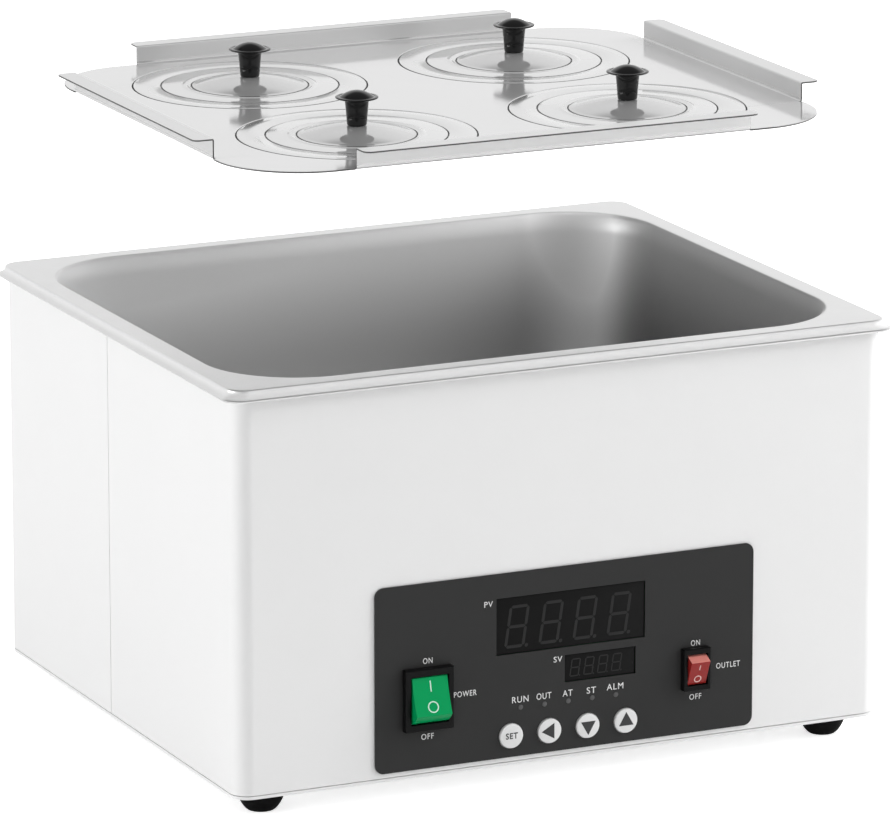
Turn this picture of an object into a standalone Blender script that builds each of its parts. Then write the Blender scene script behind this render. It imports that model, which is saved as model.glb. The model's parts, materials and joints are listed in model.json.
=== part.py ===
"""Laboratory water bath with a four-place ring lid.

Metres, +Z up. X runs along the front's width and the control panel faces -Y. The floor that the
feet stand on is z = 0. Everything is modelled about the middle of the tank, and one empty shifts
it all in Y, so that the finished object is centred between its power rocker and drain spigot.
The lid is modelled raised above the bath, on the vertical line along which it lifts out.
"""

import math

import bmesh
import bpy
from mathutils import Matrix, Vector

# Fits
GAP = 0.0003  # between pieces that touch
RUNNING_GAP = 0.0004  # round a piece that slides or lifts
CUT_OVERRUN = 0.002  # how far a cutter runs past what it cuts

# Casing of folded sheet
HOUSING_W = 0.3352
HOUSING_D = 0.2844
HOUSING_CORNER_R = 0.009
HOUSING_T = 0.001
SEAM_Y = 0.0095  # where the front and the rear sheets meet on each side
SEAM_GAP = 0.0004
SEAM_LAP = 0.008
CORNER_STEPS = 6

# Base plate and feet
FOOT_H = 0.011
FOOT_R_TOP = 0.011
FOOT_R_BOTTOM = 0.0056
FOOT_SHOULDER_H = 0.003
FOOT_FRONT_INSET_X = 0.0206
FOOT_REAR_INSET_X = 0.0290
FOOT_INSET_Y = 0.0202
FOOT_BORE_R = 0.0022
FOOT_BORE_DEPTH = 0.0075
BASE_T = 0.0015
BASE_FLANGE_H = 0.006
BASE_FLANGE_T = 0.001
SCREW_SHANK_R = 0.0018
SCREW_HEAD_R = 0.0040
SCREW_HEAD_H = 0.0024
SCREW_HOLE_R = 0.0024
SCREW_GRIP = 0.006
FOOT_STEPS = 16
SCREW_STEPS = 8

# Tank, one pressed pan with a flange and a skirt
RIM_Z = 0.2064
TANK_T = 0.001
TANK_DEPTH = 0.100
TANK_FLANGE = 0.0115  # from the skirt's top bend to the inner wall
TANK_CORNER_R = 0.044
TANK_LOW_CORNER_R = 0.040
TANK_FLOOR_R = 0.012
SHOULDER_DEPTH = 0.0030
SHOULDER_DROP = 0.0068
SHOULDER_STEP = 0.0007
ROLL_R = 0.0025
RIM_CORNER_R = 0.0095
SKIRT_DROP = 0.0045
SKIRT_FLARE = 0.0030
BEND_R = 0.0008
DRAIN_X = -0.060
DRAIN_Y = 0.090
DRAIN_HOLE_R = 0.0080

# Insulation round the tank
WOOL_T = 0.0050
WOOL_TOP_BELOW_RIM = 0.018
WOOL_BOTTOM_ABOVE_FLOOR = 0.014

# Control panel, with places measured from its middle and its lower edge
PANEL_W = 0.1965
PANEL_H = 0.0896
PANEL_T = 0.0006
PANEL_CORNER_R = 0.0045
PANEL_ABOVE_BASE = 0.0024
PANEL_MARGIN = 0.0028  # how far the panel laps over the housing round its window
PV_X = 0.0026
PV_UP = 0.0638
PV_W = 0.0767
PV_H = 0.0270
SV_X = 0.0179
SV_UP = 0.0395
SV_W = 0.0364
SV_H = 0.0127
WINDOW_RECESS = 0.0005
LAMP_X = 0.0013
LAMP_PITCH = 0.0124
LAMP_UP = 0.0237
LAMP_R = 0.0015
LAMP_PROUD = 0.0006
LAMP_COLLAR_R = 0.0019
KEY_PITCH = 0.0199
KEY_UP = 0.0104
KEY_R = 0.0059
KEY_PROUD = 0.0011
KEY_FLANGE_R = 0.0066
KEY_FLANGE_T = 0.0008
KEY_STEM_R = 0.0025
KEY_TRAVEL = 0.0008
BOARD_BEHIND = 0.0085  # from the panel's back to the board's front
BOARD_T = 0.0016
BOARD_W = 0.1040
BOARD_H = 0.0810
POST_R = 0.0030
POST_INSET = 0.0045
KEY_STEPS = 16
LAMP_STEPS = 10

# Rocker switches: bezel, window and rocker
BEZEL_PROUD = 0.0038
BEZEL_CHAMFER = 0.0007
POWER_X = -0.0719
POWER_UP = 0.0343
POWER_BEZEL_W = 0.0248
POWER_BEZEL_H = 0.0301
POWER_WINDOW_W = 0.0193
POWER_WINDOW_H = 0.0231
POWER_FACE = 0.0181
POWER_FACE_OUT = 0.0075  # from the pivot to the face
POWER_PIVOT_BACK = 0.0049  # from the bezel's front to the pivot
POWER_TILT = math.radians(18.7)  # from the middle to either end of its throw
POWER_SIDE_GAP = 0.0012
POWER_DISH = 0.0006  # how far the middle of the face lies below its edges
POWER_ARC_STEPS = 5
OUTLET_X = 0.0672
OUTLET_UP = 0.0318
OUTLET_BEZEL_W = 0.0141
OUTLET_BEZEL_H = 0.0206
OUTLET_WINDOW_W = 0.0107
OUTLET_WINDOW_H = 0.0153
OUTLET_FACE = 0.0129
OUTLET_FACE_OUT = 0.0036
OUTLET_PIVOT_BACK = 0.0021
OUTLET_TILT = math.radians(22.3)
OUTLET_SIDE_GAP = 0.0009
OUTLET_DISH = 0.0002
OUTLET_ARC_STEPS = 1  # its ends are flat facets
ROCKER_WRAP = math.radians(112)  # how far round its pivot the rocker's ends reach
FACE_STEPS = 4
SWITCH_LIP = 0.0012  # the bezel's edge round the window, with a taller pocket behind it
POCKET_RELIEF = 0.0006
TRUNNION_R = 0.0010
TRUNNION_SEAT = 0.0008
SWITCH_BODY_WALL = 0.0013
SWITCH_BODY_END = 0.0020
SWITCH_POCKET_WALL = 0.0030

# Lid of sheet steel, with places about the middle of the tank
LID_T = 0.0008
PLATE_W = 0.3050
PLATE_D = 0.2612
PLATE_CORNER_R = 0.042
LID_WALL_H = 0.0092  # from the plate's top to the lip's top
LID_LIP = 0.0093
LID_WALL_X = 0.2020  # length of the front and rear walls
LID_WALL_Y = 0.1680  # length of the side walls
LID_RAISED = 0.3017  # height of the plate's top as modelled
PLACE_X = 0.1405  # spacing of the four places
PLACE_Y = 0.1250
OUTER_HOLE_R = 0.0567
MIDDLE_HOLE_R = 0.0431
INNER_HOLE_R = 0.0285
LEDGE = 0.0036
CAP_RISE = 0.0042
CAP_EDGE_H = 0.0010
RING_STEPS = 24
PLATE_ARC_STEPS = 7

# Knob on each cap
KNOB_STEM_R_LOW = 0.0047
KNOB_STEM_R_TOP = 0.0056
KNOB_STEM_H = 0.0124
KNOB_FLANGE_R = 0.0102
KNOB_FLANGE_T = 0.0012
KNOB_FLANGE_RISE = 0.0012
KNOB_DOME_R = 0.0086
KNOB_DOME_H = 0.0030
KNOB_BORE_R = 0.0019
KNOB_BORE_DEPTH = 0.0090
KNOB_SCREW_GRIP = 0.0075
KNOB_SCREW_R = 0.0015
KNOB_SCREW_HEAD_R = 0.0034
KNOB_SCREW_HEAD_H = 0.0020
KNOB_STEPS = 16

# Heater, probe and drain below the tank
HEATER_TUBE_R = 0.0035
HEATER_RUN = 0.190
HEATER_PITCH = 0.036
HEATER_RUNS = 4
HEATER_Y = -0.008
HEATER_TAIL = 0.020
HEATER_TURN_STEPS = 6
PROBE_X = 0.020
PROBE_PAD_R = 0.0065
PROBE_PAD_T = 0.002
PROBE_R = 0.0030
PROBE_L = 0.024
TAIL_R = 0.0074
TAIL_BORE_R = 0.0052
TAIL_FLANGE_R = 0.0125
TAIL_FLANGE_T = 0.0015
TAIL_L = 0.032
VALVE_W = 0.028
VALVE_H = 0.026
VALVE_SOCKET = 0.008
COIL_R = 0.0120
COIL_L = 0.028
SPIGOT_R = 0.0050
SPIGOT_BORE_R = 0.0032
SPIGOT_BARB_R = 0.0062
SPIGOT_BARBS = 3
SPIGOT_BARB_PITCH = 0.0055
SPIGOT_BARB_SHARE = 0.8  # how much of the pitch each barb's slope takes
SPIGOT_OUT = 0.0220
SPIGOT_FLANGE_R = 0.0105
SPIGOT_FLANGE_T = 0.0030
TURNED_STEPS = 16

# Mains inlet and relay
INLET_X = 0.095
INLET_Z = 0.042
INLET_FLANGE_W = 0.0308
INLET_FLANGE_H = 0.0236
INLET_FLANGE_T = 0.0020
INLET_BODY_W = 0.0268
INLET_BODY_H = 0.0196
INLET_BODY_L = 0.0200
INLET_WALL = 0.0014
INLET_SOCKET_DEPTH = 0.0150
INLET_PIN_W = 0.0020
INLET_PIN_H = 0.0040
INLET_PIN_SHORT = 0.0050
INLET_PIN_PITCH = 0.0070
INLET_PIN_RAISE = 0.0020
RELAY_W = 0.050
RELAY_D = 0.035
RELAY_H = 0.024
RELAY_X = 0.050
RELAY_Y = 0.040
VENT_SLOTS = 7
VENT_W = 0.0030
VENT_H = 0.0300
VENT_PITCH = 0.0075
VENT_X = 0.020
VENT_Z = 0.060
EDGE_R = 0.0010

# Worked out from the sizes above
BASE_Z = FOOT_H + GAP
HOUSING_Z = BASE_Z + BASE_T + GAP
HOUSING_TOP = RIM_Z - TANK_T - GAP
RIM_HALF_X = HOUSING_W / 2 + GAP + TANK_T
RIM_HALF_Y = HOUSING_D / 2 + GAP + TANK_T
OPEN_HALF_X = RIM_HALF_X - TANK_FLANGE
OPEN_HALF_Y = RIM_HALF_Y - TANK_FLANGE
TANK_FLOOR_Z = RIM_Z - TANK_DEPTH
FACE_Y = -HOUSING_D / 2
PANEL_BACK_Y = FACE_Y - GAP
PANEL_FRONT_Y = PANEL_BACK_Y - PANEL_T
PANEL_Z = HOUSING_Z + PANEL_ABOVE_BASE
BOARD_Y = PANEL_BACK_Y + BOARD_BEHIND
REAR_Y = HOUSING_D / 2
RING_T = LID_T
SEAT_DROP = RING_T + GAP
POWER_REACH = math.hypot(POWER_FACE / 2, POWER_FACE_OUT)  # from the pivot to the face's edges
POWER_EDGE_ANGLE = math.atan2(POWER_FACE / 2, POWER_FACE_OUT) - POWER_TILT
POWER_PIVOT_Y = PANEL_FRONT_Y - GAP - BEZEL_PROUD + POWER_PIVOT_BACK
FRONT_REACH_Y = POWER_PIVOT_Y - POWER_REACH * math.cos(POWER_EDGE_ANGLE)
BODY_SHIFT_Y = -(FRONT_REACH_Y + REAR_Y + SPIGOT_OUT) / 2
CORNERS = {
    "front_left": (-1, -1),
    "front_right": (1, -1),
    "rear_left": (-1, 1),
    "rear_right": (1, 1),
}


def clear_scene():
    for obj in list(bpy.data.objects):
        bpy.data.objects.remove(obj, do_unlink=True)


def new_collection(name, hidden=False):
    collection = bpy.data.collections.new(name)
    bpy.context.scene.collection.children.link(collection)
    collection.hide_render = hidden
    return collection


def finish(name, colour, roughness, metallic=0.0):
    material = bpy.data.materials.new(name)
    material.use_nodes = True
    shader = material.node_tree.nodes["Principled BSDF"]
    shader.inputs["Base Color"].default_value = (*colour, 1.0)
    shader.inputs["Roughness"].default_value = roughness
    shader.inputs["Metallic"].default_value = metallic
    material.diffuse_color = (*colour, 1.0)
    return material


clear_scene()
PARTS = new_collection("laboratory_water_bath")
CUTTERS = new_collection("cutters", hidden=True)
WHITE_PAINT = finish("white powder coat", (0.84, 0.84, 0.85), 0.42)
STEEL = finish("satin stainless steel", (0.62, 0.61, 0.60), 0.32, 1.0)
LID_STEEL = finish("polished stainless steel", (0.74, 0.74, 0.74), 0.16, 1.0)
BLACK_PLASTIC = finish("black plastic", (0.012, 0.012, 0.013), 0.35)
RUBBER = finish("black rubber", (0.015, 0.015, 0.015), 0.70)
PANEL_FILM = finish("charcoal panel film", (0.035, 0.036, 0.038), 0.50)
DISPLAY_DARK = finish("dark display window", (0.012, 0.012, 0.012), 0.25)
KEY_WHITE = finish("white key plastic", (0.80, 0.80, 0.80), 0.45)
GREEN_PLASTIC = finish("green rocker plastic", (0.0, 0.36, 0.13), 0.25)
RED_PLASTIC = finish("red rocker plastic", (0.45, 0.02, 0.02), 0.22)
LAMP_GREY = finish("unlit lamp lens", (0.20, 0.20, 0.19), 0.30)
BOARD_GREEN = finish("circuit board", (0.02, 0.12, 0.05), 0.50)
WOOL = finish("mineral wool", (0.55, 0.50, 0.38), 0.95)
BRASS = finish("brass", (0.70, 0.52, 0.22), 0.30, 1.0)
ZINC = finish("zinc-plated steel", (0.55, 0.55, 0.56), 0.35, 1.0)

FRAME = bpy.data.objects.new("bath_frame", None)
PARTS.objects.link(FRAME)
FRAME.location = (0.0, BODY_SHIFT_Y, 0.0)


def add_part(name, mesh, material, at=(0.0, 0.0, 0.0), turn=(0.0, 0.0, 0.0), smooth=True):
    """Puts a mesh in the assembly as one named sub-part, hung from the bath's empty."""
    mesh.name = name
    mesh.materials.clear()
    mesh.materials.append(material)
    if smooth:
        mesh.shade_smooth()
        mesh.set_sharp_from_angle(angle=math.radians(35))
    obj = bpy.data.objects.new(name, mesh)
    PARTS.objects.link(obj)
    obj.parent = FRAME
    obj.location = at
    obj.rotation_euler = turn
    return obj


def add_cutter(name, mesh, at=(0.0, 0.0, 0.0), turn=(0.0, 0.0, 0.0)):
    mesh.name = name
    obj = bpy.data.objects.new(name, mesh)
    CUTTERS.objects.link(obj)
    obj.parent = FRAME
    obj.location = at
    obj.rotation_euler = turn
    obj.hide_render = True
    obj.display_type = "WIRE"
    return obj


def boolean(obj, other, operation="DIFFERENCE"):
    modifier = obj.modifiers.new(operation.lower() + " " + other.name, "BOOLEAN")
    modifier.operation = operation
    modifier.solver = "EXACT"
    modifier.object = other


def mesh_of(bm):
    mesh = bpy.data.meshes.new("shape")
    bm.to_mesh(mesh)
    bm.free()
    return mesh


def box(size, centre=(0.0, 0.0, 0.0)):
    bm = bmesh.new()
    bmesh.ops.create_cube(bm, size=1.0)
    bmesh.ops.scale(bm, vec=size, verts=bm.verts)
    bmesh.ops.translate(bm, vec=centre, verts=bm.verts)
    return mesh_of(bm)


def cylinder(radius, length, axis="Z", steps=TURNED_STEPS, centre=(0.0, 0.0, 0.0)):
    bm = bmesh.new()
    bmesh.ops.create_cone(
        bm, cap_ends=True, segments=steps, radius1=radius, radius2=radius, depth=length
    )
    if axis == "X":
        bmesh.ops.rotate(bm, matrix=Matrix.Rotation(math.pi / 2, 3, "Y"), verts=bm.verts)
    if axis == "Y":
        bmesh.ops.rotate(bm, matrix=Matrix.Rotation(math.pi / 2, 3, "X"), verts=bm.verts)
    bmesh.ops.translate(bm, vec=centre, verts=bm.verts)
    return mesh_of(bm)


def soften(obj, width, segments=2, angle=math.radians(40)):
    modifier = obj.modifiers.new("softened edges", "BEVEL")
    modifier.width = width
    modifier.segments = segments
    modifier.limit_method = "ANGLE"
    modifier.angle_limit = angle
    return modifier


def profile_mesh(points, closed):
    bm = bmesh.new()
    verts = [bm.verts.new((r, 0.0, z)) for r, z in points]
    for first, second in zip(verts, verts[1:]):
        bm.edges.new((first, second))
    if closed:
        bm.edges.new((verts[-1], verts[0]))
    return mesh_of(bm)


def turned(name, points, material, steps, at=(0.0, 0.0, 0.0), turn=(0.0, 0.0, 0.0), closed=False):
    """Turns a profile of (radius, height) points, which runs down its outer side, about Z."""
    obj = add_part(name, profile_mesh(points, closed), material, at, turn, smooth=False)
    modifier = obj.modifiers.new("turned", "SCREW")
    modifier.axis = "Z"
    modifier.steps = steps
    modifier.render_steps = steps
    modifier.use_merge_vertices = True
    modifier.merge_threshold = 0.00001
    modifier.use_smooth_shade = True
    return obj


def rounded_outline(half_x, half_y, radius, steps=CORNER_STEPS):
    """The points of a rounded rectangle, anticlockwise from the middle of its right side's top."""
    points = []
    for quarter, (sign_x, sign_y) in enumerate(((1, 1), (-1, 1), (-1, -1), (1, -1))):
        for step in range(steps + 1):
            angle = math.pi / 2 * (quarter + step / steps)
            points.append(
                (
                    sign_x * (half_x - radius) + radius * math.cos(angle),
                    sign_y * (half_y - radius) + radius * math.sin(angle),
                )
            )
    return points


def loft(sections, tube=False):
    """Joins rounded rectangles, each (half x, half y, corner radius, z), in the order given.

    The order is from the inside of the floor up and over the outside, so that faces point out.
    A tube joins its last section to its first, and anything else is capped at both ends.
    """
    bm = bmesh.new()
    rings = []
    for half_x, half_y, radius, z in sections:
        rings.append([bm.verts.new((x, y, z)) for x, y in rounded_outline(half_x, half_y, radius)])
    pairs = list(zip(rings, rings[1:])) + ([(rings[-1], rings[0])] if tube else [])
    count = len(rings[0])
    for inner, outer in pairs:
        for k in range(count):
            after = (k + 1) % count
            bm.faces.new((inner[k], outer[k], outer[after], inner[after]))
    if not tube:
        bm.faces.new(rings[0])
        bm.faces.new(reversed(rings[-1]))
    return mesh_of(bm)


def flat_outline(splines, thickness):
    """A plate from closed outlines in X and Y, the first round the rest, centred on z = 0."""
    curve = bpy.data.curves.new("outline", "CURVE")
    curve.dimensions = "2D"
    curve.fill_mode = "BOTH"
    curve.extrude = thickness / 2
    for points in splines:
        spline = curve.splines.new("POLY")
        spline.points.add(len(points) - 1)
        spline.use_cyclic_u = True
        for point, (x, y) in zip(spline.points, points):
            point.co = (x, y, 0.0, 1.0)
    return mesh_from_curve(curve)


def mesh_from_curve(curve):
    """The closed mesh of a curve, with its loose caps welded."""
    holder = bpy.data.objects.new("curve", curve)
    bpy.context.scene.collection.objects.link(holder)
    bpy.context.view_layer.update()
    graph = bpy.context.evaluated_depsgraph_get()
    mesh = bpy.data.meshes.new_from_object(holder.evaluated_get(graph))
    bpy.data.objects.remove(holder, do_unlink=True)
    bpy.data.curves.remove(curve)
    bm = bmesh.new()
    bm.from_mesh(mesh)
    bmesh.ops.remove_doubles(bm, verts=bm.verts, dist=0.00001)
    bm.to_mesh(mesh)
    bm.free()
    return mesh


def circle_points(x, y, radius, steps):
    angles = [2 * math.pi * k / steps for k in range(steps)]
    return [(x + radius * math.cos(a), y + radius * math.sin(a)) for a in angles]


def shifted(points, x, y):
    return [(px + x, py + y) for px, py in points]


def sheet_wall(path, bottom, top):
    """An open sheet along a path of (x, y) points, whose right-hand side is its outside."""
    bm = bmesh.new()
    verts = [bm.verts.new((x, y, bottom)) for x, y in path]
    edges = [bm.edges.new(pair) for pair in zip(verts, verts[1:])]
    raised = bmesh.ops.extrude_edge_only(bm, edges=edges)["geom"]
    lifted = [item for item in raised if isinstance(item, bmesh.types.BMVert)]
    bmesh.ops.translate(bm, vec=(0.0, 0.0, top - bottom), verts=lifted)
    bm.normal_update()
    bm.faces.ensure_lookup_table()
    start, end = Vector((*path[0], 0.0)), Vector((*path[1], 0.0))
    outward = (end - start).cross(Vector((0.0, 0.0, 1.0)))
    first = min(bm.faces, key=lambda face: (face.calc_center_median().xy - ((start + end) / 2).xy).length)
    if first.normal.dot(outward) < 0:
        bmesh.ops.reverse_faces(bm, faces=bm.faces)
    return mesh_of(bm)


def thicken(obj, thickness):
    modifier = obj.modifiers.new("sheet thickness", "SOLIDIFY")
    modifier.thickness = thickness
    modifier.offset = -1.0
    modifier.use_even_offset = True
    return modifier


def housing_front():
    half_x, half_y, radius = HOUSING_W / 2, HOUSING_D / 2, HOUSING_CORNER_R
    outline = rounded_outline(half_x, half_y, radius)
    quarter = CORNER_STEPS + 1
    path = [(-half_x, SEAM_Y)] + outline[2 * quarter : 4 * quarter] + [(half_x, SEAM_Y)]
    obj = add_part("housing_front", sheet_wall(path, HOUSING_Z, HOUSING_TOP), WHITE_PAINT)
    thicken(obj, HOUSING_T)
    window = flat_outline(
        [
            rounded_outline(
                PANEL_W / 2 - PANEL_MARGIN, PANEL_H / 2 - PANEL_MARGIN, PANEL_CORNER_R
            )
        ],
        HOUSING_T + 2 * CUT_OVERRUN,
    )
    cutter = add_cutter(
        "panel_window_cutter",
        window,
        (0.0, FACE_Y + HOUSING_T / 2, PANEL_Z + PANEL_H / 2),
        (math.pi / 2, 0.0, 0.0),
    )
    boolean(obj, cutter)


def housing_rear():
    half_x, half_y, radius = HOUSING_W / 2, HOUSING_D / 2, HOUSING_CORNER_R
    outline = rounded_outline(half_x, half_y, radius)
    quarter = CORNER_STEPS + 1
    inner_x = half_x - HOUSING_T - GAP
    seam = SEAM_Y + SEAM_GAP
    path = [(inner_x, SEAM_Y - SEAM_LAP), (inner_x, seam), (half_x, seam)]
    path += outline[: 2 * quarter]
    path += [(-half_x, seam), (-inner_x, seam), (-inner_x, SEAM_Y - SEAM_LAP)]
    obj = add_part("housing_rear", sheet_wall(path, HOUSING_Z, HOUSING_TOP), WHITE_PAINT)
    thicken(obj, HOUSING_T)
    depth = HOUSING_T + 2 * CUT_OVERRUN
    middle = REAR_Y - HOUSING_T / 2
    inlet = box((INLET_BODY_W + 2 * GAP, depth, INLET_BODY_H + 2 * GAP))
    boolean(obj, add_cutter("inlet_cutter", inlet, (INLET_X, middle, INLET_Z)))
    spigot = cylinder(SPIGOT_R + GAP, depth, "Y")
    boolean(obj, add_cutter("spigot_cutter", spigot, (DRAIN_X, middle, valve_z())))
    for k in range(VENT_SLOTS):
        x = VENT_X + (k - (VENT_SLOTS - 1) / 2) * VENT_PITCH
        slot = flat_outline([rounded_outline(VENT_W / 2, VENT_H / 2, VENT_W / 2, 3)], depth)
        turn = (math.pi / 2, 0.0, 0.0)
        boolean(obj, add_cutter(f"vent_cutter_{k + 1}", slot, (x, middle, VENT_Z), turn))


def base_plate():
    half_x, half_y, radius = HOUSING_W / 2, HOUSING_D / 2, HOUSING_CORNER_R
    inset = 2 * (HOUSING_T + GAP)
    inner = inset + BASE_FLANGE_T
    top = BASE_Z + BASE_T
    sections = [
        (half_x - inner, half_y - inner, radius - inner, top),
        (half_x - inner, half_y - inner, radius - inner, top + BASE_FLANGE_H),
        (half_x - inset, half_y - inset, radius - inset, top + BASE_FLANGE_H),
        (half_x - inset, half_y - inset, radius - inset, top),
        (half_x, half_y, radius, top),
        (half_x, half_y, radius, BASE_Z),
    ]
    obj = add_part("base_plate", loft(sections), WHITE_PAINT)
    for name, (x, y) in foot_places().items():
        hole = cylinder(SCREW_HOLE_R, BASE_T + 2 * CUT_OVERRUN, steps=SCREW_STEPS)
        boolean(obj, add_cutter(f"foot_hole_cutter_{name}", hole, (x, y, BASE_Z + BASE_T / 2)))


def foot_places():
    front_x, rear_x = HOUSING_W / 2 - FOOT_FRONT_INSET_X, HOUSING_W / 2 - FOOT_REAR_INSET_X
    y = HOUSING_D / 2 - FOOT_INSET_Y
    return {name: (sx * (front_x if sy < 0 else rear_x), sy * y) for name, (sx, sy) in CORNERS.items()}


def feet_and_screws():
    shoulder_z = FOOT_H - FOOT_SHOULDER_H
    flank_shares = ((1.0, 1.0), (0.93, 0.78), (0.72, 0.50), (0.33, 0.13), (0.0, 0.0))
    flank = [(FOOT_R_BOTTOM + (FOOT_R_TOP - FOOT_R_BOTTOM) * out, shoulder_z * up) for out, up in flank_shares]
    foot = [
        (0.0, FOOT_H - FOOT_BORE_DEPTH),
        (FOOT_BORE_R, FOOT_H - FOOT_BORE_DEPTH),
        (FOOT_BORE_R, FOOT_H),
        (FOOT_R_TOP, FOOT_H),
        *flank,
        (0.0, 0.0),
    ]
    head_crown_share, head_edge_share = 0.55, 0.45
    screw = [
        (0.0, SCREW_HEAD_H),
        (SCREW_HEAD_R * head_crown_share, SCREW_HEAD_H),
        (SCREW_HEAD_R, SCREW_HEAD_H * head_edge_share),
        (SCREW_HEAD_R, 0.0),
        (SCREW_SHANK_R, 0.0),
        (SCREW_SHANK_R, -(BASE_T + 2 * GAP + SCREW_GRIP)),
        (0.0, -(BASE_T + 2 * GAP + SCREW_GRIP)),
    ]
    for name, (x, y) in foot_places().items():
        turned(f"foot_{name}", foot, RUBBER, FOOT_STEPS, (x, y, 0.0))
        turned(f"foot_screw_{name}", screw, ZINC, SCREW_STEPS, (x, y, BASE_Z + BASE_T + GAP))


def tank():
    def inside(offset, depth, radius):
        return (OPEN_HALF_X + offset, OPEN_HALF_Y + offset, radius + offset, RIM_Z - depth)

    def rim(offset, depth):
        return (RIM_HALF_X + offset, RIM_HALF_Y + offset, RIM_CORNER_R + offset, RIM_Z - depth)

    low = -SHOULDER_STEP
    quarter_turn = [math.pi / 2 * share for share in (0.0, 1 / 3, 2 / 3, 1.0)]
    sections = []
    for angle in quarter_turn:
        offset = low - TANK_FLOOR_R * (1 - math.sin(angle))
        depth = TANK_DEPTH - TANK_FLOOR_R * (1 - math.cos(angle))
        sections.append(inside(offset, depth, TANK_LOW_CORNER_R))
    sections.append(inside(low, SHOULDER_DEPTH + SHOULDER_DROP, TANK_CORNER_R))
    sections.append(inside(0.0, SHOULDER_DEPTH, TANK_CORNER_R))
    for angle in quarter_turn:
        offset = ROLL_R * (1 - math.cos(angle))
        sections.append(inside(offset, ROLL_R * (1 - math.sin(angle)), TANK_CORNER_R))
    waist_share, flare_share = 0.55, 0.25
    sections += [
        rim(-BEND_R, 0.0),
        rim(0.0, BEND_R),
        rim(SKIRT_FLARE * flare_share, BEND_R + (SKIRT_DROP - BEND_R) * waist_share),
        rim(SKIRT_FLARE, SKIRT_DROP),
        rim(SKIRT_FLARE - TANK_T / 2, SKIRT_DROP + TANK_T / 2),
        rim(SKIRT_FLARE * flare_share - TANK_T, BEND_R + (SKIRT_DROP - BEND_R) * waist_share + TANK_T / 2),
        rim(-TANK_T, BEND_R + TANK_T),
        rim(-TANK_T, TANK_T),
    ]
    under = ROLL_R - TANK_T
    for angle in reversed(quarter_turn[1:]):
        offset = ROLL_R - under * math.cos(angle)
        sections.append(inside(offset, ROLL_R - under * math.sin(angle), TANK_CORNER_R))
    sections.append(inside(TANK_T, SHOULDER_DEPTH + TANK_T / 2, TANK_CORNER_R))
    sections.append(inside(low + TANK_T, SHOULDER_DEPTH + SHOULDER_DROP + TANK_T / 2, TANK_CORNER_R))
    outer_r = TANK_FLOOR_R + TANK_T
    for angle in reversed(quarter_turn):
        offset = low + TANK_T - outer_r * (1 - math.sin(angle))
        depth = TANK_DEPTH + TANK_T - outer_r * (1 - math.cos(angle))
        sections.append(inside(offset, depth, TANK_LOW_CORNER_R))
    obj = add_part("tank", loft(sections), STEEL)
    hole = cylinder(DRAIN_HOLE_R, TANK_T + 2 * CUT_OVERRUN)
    at = (DRAIN_X, DRAIN_Y, TANK_FLOOR_Z - TANK_T / 2)
    boolean(obj, add_cutter("drain_cutter", hole, at))


def tank_insulation():
    side = TANK_T - SHOULDER_STEP + GAP
    inner_x, inner_y = OPEN_HALF_X + side, OPEN_HALF_Y + side
    low, high = TANK_FLOOR_Z + WOOL_BOTTOM_ABOVE_FLOOR, RIM_Z - WOOL_TOP_BELOW_RIM
    radius = TANK_LOW_CORNER_R + side
    sections = [
        (inner_x, inner_y, radius, low),
        (inner_x, inner_y, radius, high),
        (inner_x + WOOL_T, inner_y + WOOL_T, radius + WOOL_T, high),
        (inner_x + WOOL_T, inner_y + WOOL_T, radius + WOOL_T, low),
    ]
    add_part("tank_insulation", loft(sections, tube=True), WOOL)


def heating_element():
    """One bent tube under the tank's floor, whose ends turn down to its terminals."""
    z = TANK_FLOOR_Z - TANK_T - GAP - HEATER_TUBE_R
    bend = HEATER_PITCH / 2
    first_y = HEATER_Y - HEATER_PITCH * (HEATER_RUNS - 1) / 2
    half = HEATER_RUN / 2
    tail_steps = 4
    points = []
    for k in range(tail_steps):
        angle = math.pi / 2 * k / tail_steps
        x = -half - bend * math.cos(angle)
        points.append((x, first_y, z - bend * (1 - math.sin(angle))))
    points.insert(0, (points[0][0], first_y, points[0][2] - HEATER_TAIL))
    for run in range(HEATER_RUNS):
        y = first_y + run * HEATER_PITCH
        way = 1 if run % 2 == 0 else -1
        points.append((-way * half, y, z))
        points.append((way * half, y, z))
        if run < HEATER_RUNS - 1:
            for k in range(1, HEATER_TURN_STEPS):
                angle = math.pi * k / HEATER_TURN_STEPS
                x = way * (half + bend * math.sin(angle))
                points.append((x, y + bend * (1 - math.cos(angle)), z))
    last_y = first_y + (HEATER_RUNS - 1) * HEATER_PITCH
    for k in range(1, tail_steps + 1):
        angle = math.pi / 2 * k / tail_steps
        x = -half - bend * math.sin(angle)
        points.append((x, last_y, z - bend * (1 - math.cos(angle))))
    points.append((points[-1][0], last_y, points[-1][2] - HEATER_TAIL))
    curve = bpy.data.curves.new("heater route", "CURVE")
    curve.dimensions = "3D"
    curve.bevel_depth = HEATER_TUBE_R
    curve.bevel_resolution = 2
    curve.use_fill_caps = True
    spline = curve.splines.new("POLY")
    spline.points.add(len(points) - 1)
    for point, place in zip(spline.points, points):
        point.co = (*place, 1.0)
    add_part("heating_element", mesh_from_curve(curve), STEEL)


def temperature_probe():
    top = TANK_FLOOR_Z - TANK_T - GAP
    profile = [
        (0.0, 0.0),
        (PROBE_PAD_R, 0.0),
        (PROBE_PAD_R, -PROBE_PAD_T),
        (PROBE_R, -PROBE_PAD_T),
        (PROBE_R, -PROBE_L),
        (0.0, -PROBE_L),
    ]
    turned("temperature_probe", profile, BRASS, TURNED_STEPS, (PROBE_X, HEATER_Y, top))


def tail_top():
    return TANK_FLOOR_Z + GAP + TAIL_FLANGE_T


def valve_top():
    return tail_top() - TAIL_L + VALVE_SOCKET - GAP


def valve_z():
    return valve_top() - VALVE_H / 2 - VALVE_SOCKET / 2


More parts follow.
